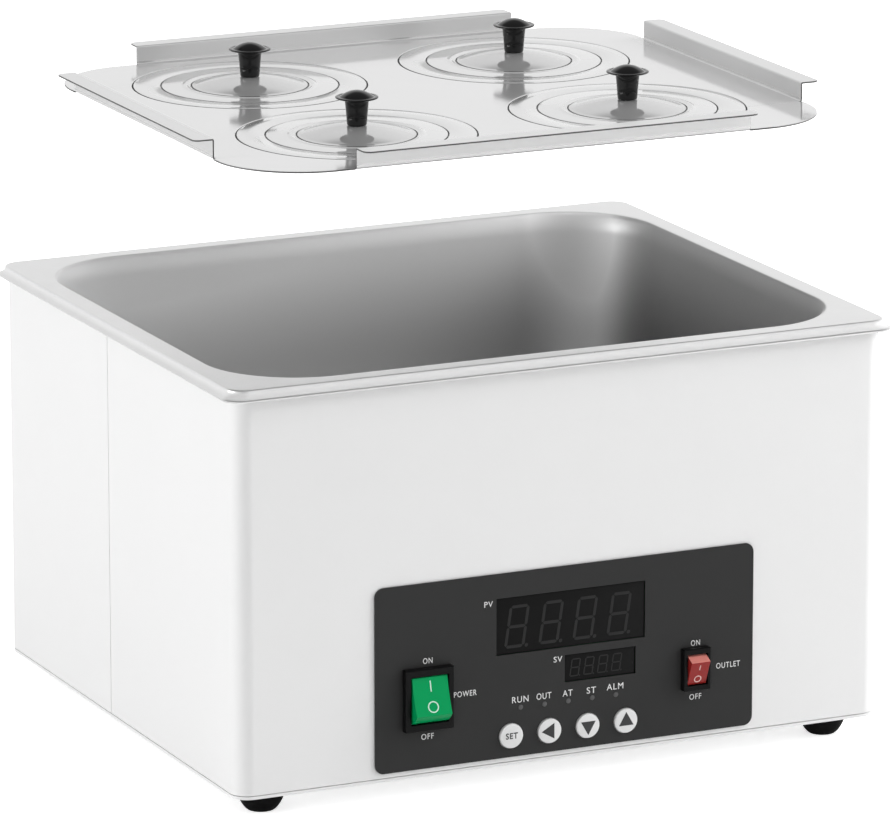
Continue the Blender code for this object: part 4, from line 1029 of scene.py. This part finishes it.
class BATH_OT_rings(bpy.types.Operator):
    """Turns the outer rings, the inner rings and the domed caps, and sets them in the lid"""

    bl_idname = "bath.rings"
    bl_label = "Rings and Caps"

    def execute(self, context):
        lid = context.scene.bath_lid
        outer = ring_profile(lid.outer_hole - lid.gap, lid.middle_hole, 0, lid)
        inner = ring_profile(lid.middle_hole - lid.gap, lid.inner_hole, lid.bead, lid)
        cap = cap_profile(lid.inner_hole - lid.gap, lid)
        for start, profile, steel in (
            ("outer_ring_", outer, lid_steel()), ("inner_ring_", inner, lid_steel()),
            # The caps get the darker steel as painted shade
            ("cap_", cap, finish("polished cap steel")),
        ):
            def turned(name, at):
                piece = shade(spun(name, profile, at, steps=128, closed=True), 28)
                # The faces round each ring's and cap's edge take the near-black painted shade
                edge = max(radius for radius, _ in profile) - 0.00038
                for face in piece.data.polygons:
                    middle = face.center - at
                    face.material_index = int(math.hypot(middle.x, middle.y) > edge)
                return piece

            names = [start + place for place in PLACES]
            spots = [Vector((*middle_of(name).xy, LID_TOP)) for name in names]
            for name, piece in repeated(names, spots, turned):
                dress(piece, name, (steel, finish("dull cut edge of the steel")), "lid_steel", name)
        return {"FINISHED"}


def knob_profile():
    """The knob's outline from its domed top, round the flange and down the stem to its bore."""
    dome, rise, edge_z, steps = 0.0080, 0.0030, 0.01335, 12
    profile = []
    for k in range(steps + 1):
        share = k / steps
        profile.append((dome * share, edge_z + rise * (1 - share ** 2.0)))
    return profile + [
        (0.0082, 0.01333), (0.0084, 0.01342), (0.0087, 0.01350), (0.0093, 0.01346), (0.0099, 0.01336),
        (0.0101, 0.0132), (0.0101, 0.0129), (0.0098, 0.01268), (0.0080, 0.01255), (0.0066, 0.0123),
        (0.0060, 0.0118), (0.0056, 0.0108), (0.0053, 0.0080), (0.0050, 0.0045), (0.0047, 0.0004),
        (0.0045, 0.0), (0.0019, 0.0), (0.0019, 0.009), (0, 0.009),
    ]


def screw_profile(length):
    """A pan-headed screw's outline from its tip to the recess in its head."""
    return [
        (0, length), (0.0013, length), (0.0015, length - 0.0003), (0.0015, 0.0020), (0.0032, 0.0020),
        (0.0034, 0.0017), (0.0033, 0.0009), (0.0029, 0.0003), (0.0022, 0.0), (0.0011, 0.0), (0.0011, 0.0012),
        (0, 0.0012),
    ]


class BATH_OT_knobs(bpy.types.Operator):
    """Turns the black knobs and the screws that hold them to the caps"""

    bl_idname = "bath.knobs"
    bl_label = "Knobs"

    def execute(self, context):
        knobs = ["knob_" + place for place in PLACES]
        screws = ["knob_screw_" + place for place in PLACES]
        spots, heads = [], []
        for knob, screw, place in zip(knobs, screws, PLACES):
            low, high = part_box(knob)
            spots.append(Vector(((low.x + high.x) / 2, middle_of("cap_" + place).y, low.z)))
            low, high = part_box(screw)
            heads.append(Vector((*spots[-1].xy, low.z)))
        low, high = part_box(screws[0])
        screw_outline = screw_profile(high.z - low.z)
        knobs = repeated(knobs, spots, lambda name, at: shade(spun(name, knob_profile(), at, steps=72), 35))
        screws = repeated(screws, heads, lambda name, at: shade(spun(name, screw_outline, at, steps=32), 35))
        for (knob, knob_piece), (screw, screw_piece), place in zip(knobs, screws, PLACES):
            dress(knob_piece, "cap_" + place, finish("black plastic"), "black_plastic", knob)
            dress(screw_piece, "cap_" + place, finish("zinc-plated steel"), "zinc", screw)
        return {"FINISHED"}


# Control panel


def panel_point(x, up, out=0.0):
    """A place on the panel, from its middle and its lower edge, and how far it stands out."""
    return Vector((x, PANEL_FRONT - out, PANEL_LOW + up))


def lettering(name, words, height, width, x, up, out=0.00004, ink="pale print", body="bath", bold=0.006):
    """Flat printed words of a set height and width, centred on a place on the panel."""
    deselect()
    bpy.ops.object.text_add(location=(0, 0, 0))
    text = bpy.context.active_object.data
    capital_share = 0.69
    text.body = words
    text.size = height / capital_share
    text.align_x = "CENTER"
    text.align_y = "CENTER"
    text.space_character = 1.15
    text.offset = height * bold
    text.extrude = 0.00003
    text.resolution_u = 4
    bpy.ops.object.convert(target="MESH")
    piece = named(name)
    piece.scale = (width / piece.dimensions.x, 1, 1)
    piece.rotation_euler = (math.pi / 2, 0, 0)
    piece.location = panel_point(x, up, out)
    return dress(settle(piece), body, finish(ink), "panel_film")


def panel_plate(panel):
    """The panel's plate with its openings for the windows, the switches, the keys and the lamps."""
    low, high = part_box("control_panel")
    plate = rounded_block("control_panel", high - low, (low + high) / 2, panel.corner, "Y", 10)
    through, window_play, body_play_x, body_play_z = 0.02, 0.0006, 0.0032, 0.0046
    for node in ("display_pv", "display_sv"):
        a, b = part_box(node)
        size = (b.x - a.x + window_play, through, b.z - a.z + window_play)
        cut(plate, block("window cutter", size, (a + b) / 2))
    for node, (window_w, window_h) in (("power", panel.power_window), ("outlet", panel.outlet_window)):
        size = (window_w + body_play_x, through, window_h + body_play_z)
        cut(plate, block("switch cutter", size, middle_of(node + "_switch")))
    for kind, names, radius, steps in (("key", KEYS, 0.0063, 64), ("lamp", LAMPS, 0.00123, 32)):
        for name in names:
            centre = middle_of(f"{kind}_{name}")
            at = (centre.x, low.y, centre.z)
            cut(plate, spun(kind + " cutter", drum(radius, THROUGH), at, "-Y", steps))
    soften(plate, 0.00018, 2, 60)
    shade_even(plate, 30)
    return plate


class BATH_OT_panel(bpy.types.Operator):
    """Cuts the control panel and prints its words"""

    bl_idname = "bath.panel"
    bl_label = "Control Panel"

    def execute(self, context):
        panel = context.scene.bath_panel
        dress(panel_plate(panel), "bath", finish("charcoal panel film"), "panel_film", "control_panel")
        small, tall = panel.print_height, panel.label_height
        for name, words, height, width, x, up in (
            ("power_on", "ON", small, 0.0049, -0.0713, 0.0520),
            ("power_off", "OFF", small, 0.0064, -0.0715, 0.0154),
            ("power", "POWER", small, 0.0117, -0.0522, 0.0337),
            ("outlet_on", "ON", small, 0.0048, 0.0679, 0.0438),
            ("outlet_off", "OFF", small, 0.0063, 0.0680, 0.0174),
            ("outlet", "OUTLET", small, 0.0126, 0.0852, 0.0310),
            ("pv", "PV", small, 0.0044, -0.0403, 0.0754),
            ("sv", "SV", small, 0.0044, -0.0043, 0.0445),
            ("run", "RUN", tall, 0.0085, -0.0237, 0.0274),
            ("out", "OUT", tall, 0.0077, -0.0115, 0.0275),
            ("at", "AT", tall, 0.0051, 0.0009, 0.0274),
            ("st", "ST", tall, 0.0048, 0.0132, 0.0273),
            ("alm", "ALM", tall, 0.0087, 0.0258, 0.0276),
        ):
            lettering("print_" + name, words, height, width, x, up)
        return {"FINISHED"}


def digit_bar(length, width, centre, upright=False):
    """One pointed bar of a digit, flat on the display's window."""
    piece = block("bar", (length, 0.00005, width), (0, 0, 0))
    edit(piece, "EDGE")
    choose(piece, "EDGE", runs_along("Y", 0.00003))
    round_edges(width * 0.49, 1)
    leave()
    if upright:
        piece.rotation_euler = (0, math.pi / 2, 0)
    piece.location = centre
    return settle(piece)


def digit_row(name, slant, height, width, pitch, bar, shift, drop):
    """Four slanted digits on a display's window with every bar unlit, each with its point."""
    low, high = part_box("display_" + name)
    lift = 0.00003
    y = low.y - lift
    middle_x, middle_z = (low.x + high.x) / 2 + shift, (low.z + high.z) / 2 - drop
    gap = bar * 0.14
    half_w, half_h = (width - bar) / 2, (height - bar) / 2
    bars = []
    for k in range(4):
        x = middle_x + (k - 1.5) * pitch
        for z in (-half_h, 0, half_h):
            bars.append(digit_bar(2 * half_w - 2 * gap, bar, (x, y, middle_z + z)))
        for side in (-1, 1):
            for end in (-1, 1):
                centre = (x + side * half_w, y, middle_z + end * half_h / 2)
                bars.append(digit_bar(half_h - 2 * gap, bar, centre, True))
        point = (x + half_w + bar * 1.25, y, middle_z - half_h)
        bars.append(spun("dot", drum(bar * 0.62, 0.00003), point, "-Y", 24))
    piece = join(*bars)
    piece.name = "digits_" + name
    lean = Matrix(((1, 0, math.tan(slant), 0), (0, 1, 0, 0), (0, 0, 1, 0), (0, 0, 0, 1)))
    middle = Matrix.Translation((0, 0, middle_z))
    piece.data.transform(middle @ lean @ Matrix.Translation((0, 0, -middle_z)))
    dress(piece, "bath", finish("unlit display segment"), "display_window")


class BATH_OT_displays(bpy.types.Operator):
    """Glazes the two display windows and lays their unlit digits on them"""

    bl_idname = "bath.displays"
    bl_label = "Displays"

    def execute(self, context):
        panel = context.scene.bath_panel
        for node in ("display_pv", "display_sv"):
            low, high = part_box(node)
            window = block(node, high - low, (low + high) / 2)
            soften(window, 0.00015, 2)
            shade(window)
            dress(window, "bath", finish("dark display window"), "display_window", node)
        digit_row("pv", panel.slant, panel.digit, 0.0104, 0.0177, 0.00145, shift=-0.0013, drop=0.0007)
        digit_row("sv", panel.slant, panel.small_digit, 0.0049, 0.0072, 0.0006, shift=-0.0021, drop=0.0)
        return {"FINISHED"}


def key_mark(name, turn, centre):
    """A filled triangle printed on a key."""
    deselect()
    bpy.ops.mesh.primitive_cylinder_add(vertices=3, radius=0.0044, depth=0.00006, location=(0, 0, 0))
    piece = named(name)
    piece.rotation_euler = (math.pi / 2, math.radians(turn), 0)
    settle(piece)
    edit(piece, "EDGE")
    choose(piece, "EDGE", runs_along("Y", 0.00003))
    round_edges(0.00015, 2)
    leave()
    piece.location = centre
    return settle(piece)


def on_panel(kind, names, profile, steps, angle):
    """Turns one round piece and copies it to each of its places on the panel, as (node, piece)."""
    nodes = [f"{kind}_{name}" for name in names]
    middles = [middle_of(node) for node in nodes]
    spots = [Vector((middle.x, PANEL_FRONT, middle.z)) for middle in middles]
    return repeated(nodes, spots, lambda node, at: shade(spun(node, profile, at, "-Y", steps), angle))


class BATH_OT_keys(bpy.types.Operator):
    """Turns the four round keys with their marks, and the five small lamps"""

    bl_idname = "bath.keys"
    bl_label = "Keys and Lamps"

    def execute(self, context):
        low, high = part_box("key_set")
        proud, depth = PANEL_FRONT - low.y, high.y - PANEL_FRONT
        flat, edge, ink = 0.0055, 0.0004, 0.00002
        profile = [(0, proud)]
        for angle in (0, *arc(4)):
            profile.append((flat + edge * math.sin(angle), proud - edge * (1 - math.cos(angle))))
        profile += [
            (0.0059, -0.0015), (0.0066, -0.0015), (0.0066, -0.0023), (0.0025, -0.0023), (0.0025, -depth),
            (0, -depth),
        ]
        turns = {"left": -90, "down": 180, "up": 0}
        for name, (node, piece) in zip(KEYS, on_panel("key", KEYS, profile, 72, 35)):
            dress(piece, node, finish("white key plastic"), "key_white", node)
            centre = middle_of(node)
            if name in turns:
                mark = key_mark("mark_" + name, turns[name], (centre.x, low.y - ink, centre.z))
                dress(mark, node, finish("dark print"), "key_white")
            else:
                up, out = centre.z - PANEL_LOW, proud + ink
                lettering("mark_set", "SET", 0.0028, 0.0062, centre.x, up, out, "dark print", node, 0.035)
        low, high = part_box("lamp_run")
        back = high.y - PANEL_FRONT
        radius, sunk, rise = 0.0012, 0.0001, 0.0002
        profile = [(radius * math.sin(angle), sunk + rise * math.cos(angle)) for angle in (0, *arc(8))]
        profile += [(radius, -0.0015), (0.0019, -0.0015), (0.0019, -back), (0, -back)]
        for node, piece in on_panel("lamp", LAMPS, profile, 40, 40):
            dress(piece, "bath", finish("unlit lamp lens"), "lamp_lens", node)
        return {"FINISHED"}


def rocker_points(face, out, dish, arc_steps):
    """The rocker's side view from its pivot: a dished face between two ends round the pivot."""
    half = face / 2
    points = [(out - dish * (1 - (1 - k / 6) ** 2), half * (1 - k / 6)) for k in range(13)]
    reach = math.hypot(half, out)
    corner, wrap = math.atan2(half, out), math.radians(112)
    angles = [corner + (wrap - corner) * k / arc_steps for k in range(1, arc_steps + 1)]
    low_end = [(reach * math.cos(angle), -reach * math.sin(angle)) for angle in angles]
    high_end = [(reach * math.cos(angle), reach * math.sin(angle)) for angle in reversed(angles)]
    return points + low_end + high_end


def make_bezel(name, window_w, window_h, chamfer):
    """A switch's bezel with its body behind, hollowed for the rocker."""
    low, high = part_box(name)
    pivot = JOINTS[name.replace("_switch", "_rocker_hinge")]["pos_m"]
    front, back = low.y, PANEL_FRONT - 0.00003
    size = (high.x - low.x, back - front, high.z - low.z)
    bezel = block(name, size, ((low.x + high.x) / 2, (front + back) / 2, (low.z + high.z) / 2))
    edit(bezel, "EDGE")
    choose(bezel, "EDGE", lambda m, e: m.y < front + 0.0001)
    round_edges(chamfer, 3)
    choose(bezel, "EDGE", runs_along("Y", 0.001))
    round_edges(0.0005, 3)
    leave()
    lip, floor = 0.0006, high.y - 0.003
    size = (window_w + 0.0026, high.y - front - lip, window_h + 0.0040)
    cut(bezel, block("body", size, (pivot[0], (high.y + front + lip) / 2, pivot[2])), "UNION")
    for grow, start in ((0.0, -0.002), (0.0012, 0.0012)):
        deep = front + start
        size = (window_w, floor - deep, window_h + grow)
        cut(bezel, block("pocket", size, (pivot[0], (floor + deep) / 2, pivot[2])))
    soften(bezel, 0.00025, 2, 50)
    shade_even(bezel)
    return bezel


def rocker_marks(rocker, surface, bar, bar_up, ring, stroke, ring_up):
    """The bar and the ring printed on a rocker's face, laid on the dished surface."""
    half, pitch, lift = 0.00005, 0.0007, 0.00004
    stick = rounded_block("bar", (stroke, 2 * half, bar), (0, -surface(bar_up), bar_up), stroke * 0.3, "Y", 3)
    outer = ring / 2
    profile = [(outer - stroke, half), (outer, half), (outer, -half), (outer - stroke, -half)]
    hoop = spun("ring", profile, (0, -surface(ring_up), ring_up), "-Y", 48, True)
    mark = join(stick, hoop)
    mark.name = "mark_" + rocker
    edit(mark, "VERT")
    take_all()
    for step in range(-12, 13):
        bpy.ops.mesh.bisect(plane_co=(0, 0, step * pitch), plane_no=(0, 0, 1))
        take_all()
    leave()
    for vertex in mark.data.vertices:
        side = vertex.co.y + surface(bar_up if vertex.co.z > 0 else ring_up)
        vertex.co.y = side - surface(vertex.co.z) - lift
    return mark


def fit_switch(kind, window, gap, face, out, dish, steps, tilt, chamfer, marks, plastic, ink, slot):
    """Fits a switch's bezel, and its rocker with the marks on it, tilted about the hinge."""
    name, rocker = kind + "_switch", kind + "_rocker"
    bezel = make_bezel(name, *window, chamfer)
    dress(bezel, "bath", finish("satin black plastic"), "black_plastic", name)
    piece = outline_block(rocker, rocker_points(face, out, dish, steps), window[0] - gap)
    soften(piece, 0.0002, 3, 30)
    shade_even(piece, 35)
    mark = rocker_marks(rocker, lambda up: out - dish * (1 - (2 * up / face) ** 2), *marks)
    for part in (piece, mark):
        part.rotation_euler = (math.radians(tilt), 0, 0)
        part.location = JOINTS[rocker + "_hinge"]["pos_m"]
        settle(part)
    dress(piece, rocker, finish(plastic), slot, rocker)
    dress(mark, rocker, finish(ink), slot)
    return piece


class BATH_OT_switches(bpy.types.Operator):
    """Moulds the two rocker switches, the large one pressed on and the small one pressed off"""

    bl_idname = "bath.switches"
    bl_label = "Switches"

    def execute(self, context):
        panel = context.scene.bath_panel
        fit_switch(
            "power", panel.power_window, gap=0.0012, face=0.0181, out=0.0075, dish=0.0006, steps=8,
            tilt=-18.7, chamfer=0.0007, marks=(0.0052, 0.0048, 0.0055, 0.00055, -0.0050),
            plastic="green rocker plastic", ink="print on green", slot="rocker_green",
        )
        rocker = fit_switch(
            "outlet", panel.outlet_window, gap=0.0009, face=0.0129, out=0.0036, dish=0.0002, steps=1,
            tilt=22.3, chamfer=0.0006, marks=(0.0028, 0.0032, 0.0038, 0.00048, -0.0034),
            plastic="red rocker plastic", ink="print on red", slot="rocker_red",
        )
        # Painted highlight: the facets that face up and forward get the paler red
        rocker.data.materials.append(finish("pale red rocker plastic"))
        for facet in rocker.data.polygons:
            if facet.normal.z > 0.3 and facet.normal.y < -0.3:
                facet.material_index = 1
        return {"FINISHED"}


# Drain and mains inlet


def spigot_profile(rear, out, inner_end):
    """The spigot's outline from its bore's mouth over three barbs and the flange at the rear sheet."""
    pitch, barbs = 0.0055, 3
    profile = [(0.0032, out - 0.0003), (0.0035, out), (0.0049, out), (0.0051, out - 0.0003)]
    for k in range(barbs):
        tip = out - k * pitch
        if k:
            profile.append((0.0050, tip))
        profile += [(0.0062, tip - 0.0043), (0.0061, tip - 0.0045), (0.0050, tip - 0.0046)]
    return profile + [
        (0.0050, 0.0031), (0.0098, 0.0030), (0.0104, 0.0025), (0.0105, 0.0), (0.0050, 0.0),
        (0.0050, inner_end - rear), (0.0032, inner_end - rear),
    ]


class BATH_OT_fittings(bpy.types.Operator):
    """Turns the drain's tail and spigot and finishes the fittings that stay as modelled"""

    bl_idname = "bath.fittings"
    bl_label = "Fittings"

    def execute(self, context):
        low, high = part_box("drain_tail")
        centre = (low + high) / 2
        profile = [
            (0.0052, -0.0003), (0.0056, 0.0), (0.0118, 0.0), (0.0124, -0.0005), (0.0125, -0.0015),
            (0.0074, -0.0015), (0.0074, low.z - high.z), (0.0052, low.z - high.z),
        ]
        tail = spun("drain_tail", profile, (centre.x, centre.y, high.z), steps=64, closed=True)
        low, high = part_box("drain_spigot")
        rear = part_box("housing_rear")[1].y + 0.0003
        profile = spigot_profile(rear, high.y - rear, low.y)
        spot = ((low.x + high.x) / 2, rear, (low.z + high.z) / 2)
        spigot = spun("drain_spigot", profile, spot, "Y", 64, True)
        for node, piece in (("drain_tail", tail), ("drain_spigot", spigot)):
            dress(shade(piece, 35), "bath", tank_steel(), "tank_steel", node)
        finishes = {
            "mains_inlet": "black plastic", "relay_module": "black plastic", "solenoid_valve": "cast brass",
            "temperature_probe": "turned brass", "heating_element": "heater tube steel",
            "control_board": "coated circuit board", "tank_insulation": "mineral wool",
        }
        finishes.update({"foot_screw_" + place: "zinc-plated steel" for place in PLACES})
        for node, name in finishes.items():
            for slot in frame["nodes"][node].material_slots:
                slot.material = finish(name)
        return {"FINISHED"}


# Stage


class BathStage(bpy.types.PropertyGroup):
    focal: number_prop("Focal length", "Camera focal length in millimetres", 296.14)
    distance: length_prop("Distance", "From the camera to what it aims at", 3.49294)
    aim: bpy.props.FloatVectorProperty(
        name="Aim", description="Point that the camera looks at",
        default=(-0.01538, SHIFT_Y - 0.04295, 0.15844), size=3, subtype="XYZ", unit="LENGTH",
    )
    yaw: angle_prop("Yaw", "Turn of the view from straight at the panel", 24.96)
    tilt: angle_prop("Tilt", "How far the view looks down", 14.20)
    fill_level: number_prop("Fill level", "Light from all sides on dull surfaces", 0.52)
    studio_level: number_prop("Studio level", "Brightness of the studio in reflections", 0.88)
    overhead_level: number_prop(
        "Overhead level", "Brightness overhead and by the camera in reflections", 0.12
    )
    backdrop_level: number_prop("Backdrop level", "Brightness of the backdrop in reflections", 1.0)


def ray_kinds(tree):
    """Levels that are 1 for the camera's own rays, and 1 for rays that were mirrored or let through."""
    path = tree.nodes.new("ShaderNodeLightPath").outputs
    mirrored = math_step(tree, "MAXIMUM", path["Is Glossy Ray"], path["Is Transmission Ray"])
    return path["Is Camera Ray"], mirrored


def studio_world(stage):
    """A world that is white to the camera, with a white backdrop in a greyer studio in reflections."""
    world = bpy.data.worlds.new("studio")
    world.use_nodes = True
    tree = world.node_tree
    place = tree.nodes.new("ShaderNodeTexCoord").outputs["Generated"]
    facing = tree.nodes.new("ShaderNodeVectorMath")
    facing.operation = "DOT_PRODUCT"
    facing.inputs[1].default_value = (math.sin(stage.yaw), math.cos(stage.yaw), 0)
    tree.links.new(place, facing.inputs[0])
    ahead = facing.outputs["Value"]
    backdrop = ramp(tree, ahead, 0.66, 0.92, stage.studio_level, stage.backdrop_level)
    overhead = ramp(tree, axes(tree, place)[2], 0.55, 0.78)
    behind = ramp(tree, ahead, -0.90, -0.955)
    around = blend(tree, overhead, backdrop, stage.overhead_level)
    around = blend(tree, behind, around, stage.overhead_level)
    camera, mirrored = ray_kinds(tree)
    level = blend(tree, camera, blend(tree, mirrored, stage.fill_level, around), 1.0)
    back = tree.nodes["Background"].inputs
    back["Color"].default_value = (1, 1, 1, 1)
    tree.links.new(level, back["Strength"])
    bpy.context.scene.world = world


def area_light(name, place, size, watts, glossy=True):
    """A soft light that is turned to the bath."""
    deselect()
    bpy.ops.object.light_add(type="AREA", location=place)
    lamp = named(name)
    lamp.data.shape = "RECTANGLE"
    lamp.data.size, lamp.data.size_y = size
    lamp.data.energy = watts
    lamp.visible_glossy = glossy
    aim = Vector((0, 0, 0.1))
    lamp.rotation_euler = (aim - Vector(place)).to_track_quat("-Z", "Y").to_euler()


def studio_floor():
    """A pale floor that looks white to the camera and in reflections, and takes a soft shadow."""
    deselect()
    bpy.ops.mesh.primitive_plane_add(size=12, location=(0, 0, 0))
    floor = named("studio_floor")
    material = bpy.data.materials.new("studio floor")
    material.use_nodes = True
    tree = material.node_tree
    shader = tree.nodes["Principled BSDF"].inputs
    shader["Base Color"].default_value = (0.9, 0.9, 0.9, 1)
    shader["Roughness"].default_value = 0.9
    shader["Specular IOR Level"].default_value = 0.0
    shader["Emission Color"].default_value = (1, 1, 1, 1)
    camera, mirrored = ray_kinds(tree)
    glow = blend(tree, camera, blend(tree, mirrored, 0.0, 0.10), 0.72)
    tree.links.new(glow, shader["Emission Strength"])
    floor.data.materials.append(material)
    floor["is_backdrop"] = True


class BATH_OT_stage(bpy.types.Operator):
    """Sets up the floor, the soft lights, the pale world and the camera"""

    bl_idname = "bath.stage"
    bl_label = "Stage"

    def execute(self, context):
        stage = context.scene.bath_stage
        studio_floor()
        studio_world(stage)
        area_light("left softbox", (-2.4, 0.3, 0.36), (1.6, 0.66), 24.5)
        area_light("high right softbox", (2.1, -0.9, 1.9), (1.6, 1.4), 37, False)
        area_light("low right softbox", (2.5, -0.7, 0.9), (1.6, 1.2), 33, False)
        area_light("top softbox", (0.3, 0.4, 2.4), (2.6, 2.4), 3)
        level = math.cos(stage.tilt)
        ahead = Vector((math.sin(stage.yaw) * level, math.cos(stage.yaw) * level, -math.sin(stage.tilt)))
        place = Vector(stage.aim) - ahead * stage.distance
        deselect()
        bpy.ops.object.camera_add(location=place, rotation=(math.pi / 2 - stage.tilt, 0, -stage.yaw))
        camera = bpy.context.active_object
        camera.data.lens = stage.focal
        camera.data.sensor_width = 36
        camera.data.clip_end = 50
        context.scene.camera = camera
        context.scene.view_settings.view_transform = "Standard"
        return {"FINISHED"}


STEPS = (
    BATH_OT_casing, BATH_OT_feet, BATH_OT_tank, BATH_OT_lid, BATH_OT_rings, BATH_OT_knobs, BATH_OT_panel,
    BATH_OT_displays, BATH_OT_keys, BATH_OT_switches, BATH_OT_fittings, BATH_OT_stage,
)
GROUPS = {
    "bath_finishes": BathFinishes, "bath_casing": BathCasing, "bath_tank": BathTank, "bath_lid": BathLid,
    "bath_panel": BathPanel, "bath_stage": BathStage,
}


class VIEW3D_PT_bath(bpy.types.Panel):
    bl_label = "Water Bath"
    bl_space_type = "VIEW_3D"
    bl_region_type = "UI"
    bl_category = "Water Bath"

    def draw(self, context):
        for name, group in GROUPS.items():
            box = self.layout.box()
            for key in group.__annotations__:
                box.prop(getattr(context.scene, name), key)
        for step in STEPS:
            self.layout.operator(step.bl_idname)


def register():
    for name, group in GROUPS.items():
        bpy.utils.register_class(group)
        setattr(bpy.types.Scene, name, bpy.props.PointerProperty(type=group))
    for step in (*STEPS, VIEW3D_PT_bath):
        bpy.utils.register_class(step)


def unregister():
    for step in reversed((*STEPS, VIEW3D_PT_bath)):
        bpy.utils.unregister_class(step)
    for name, group in reversed(GROUPS.items()):
        delattr(bpy.types.Scene, name)
        bpy.utils.unregister_class(group)


def main():
    register()
    for step in STEPS:
        group, _, action = step.bl_idname.partition(".")
        getattr(getattr(bpy.ops, group), action)()
    boxes = {"cad": CAD_BOX, "visual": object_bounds()}
    {name: [list(corner) for corner in box] for name, box in boxes.items()}


if __name__ == "__main__":
    main()
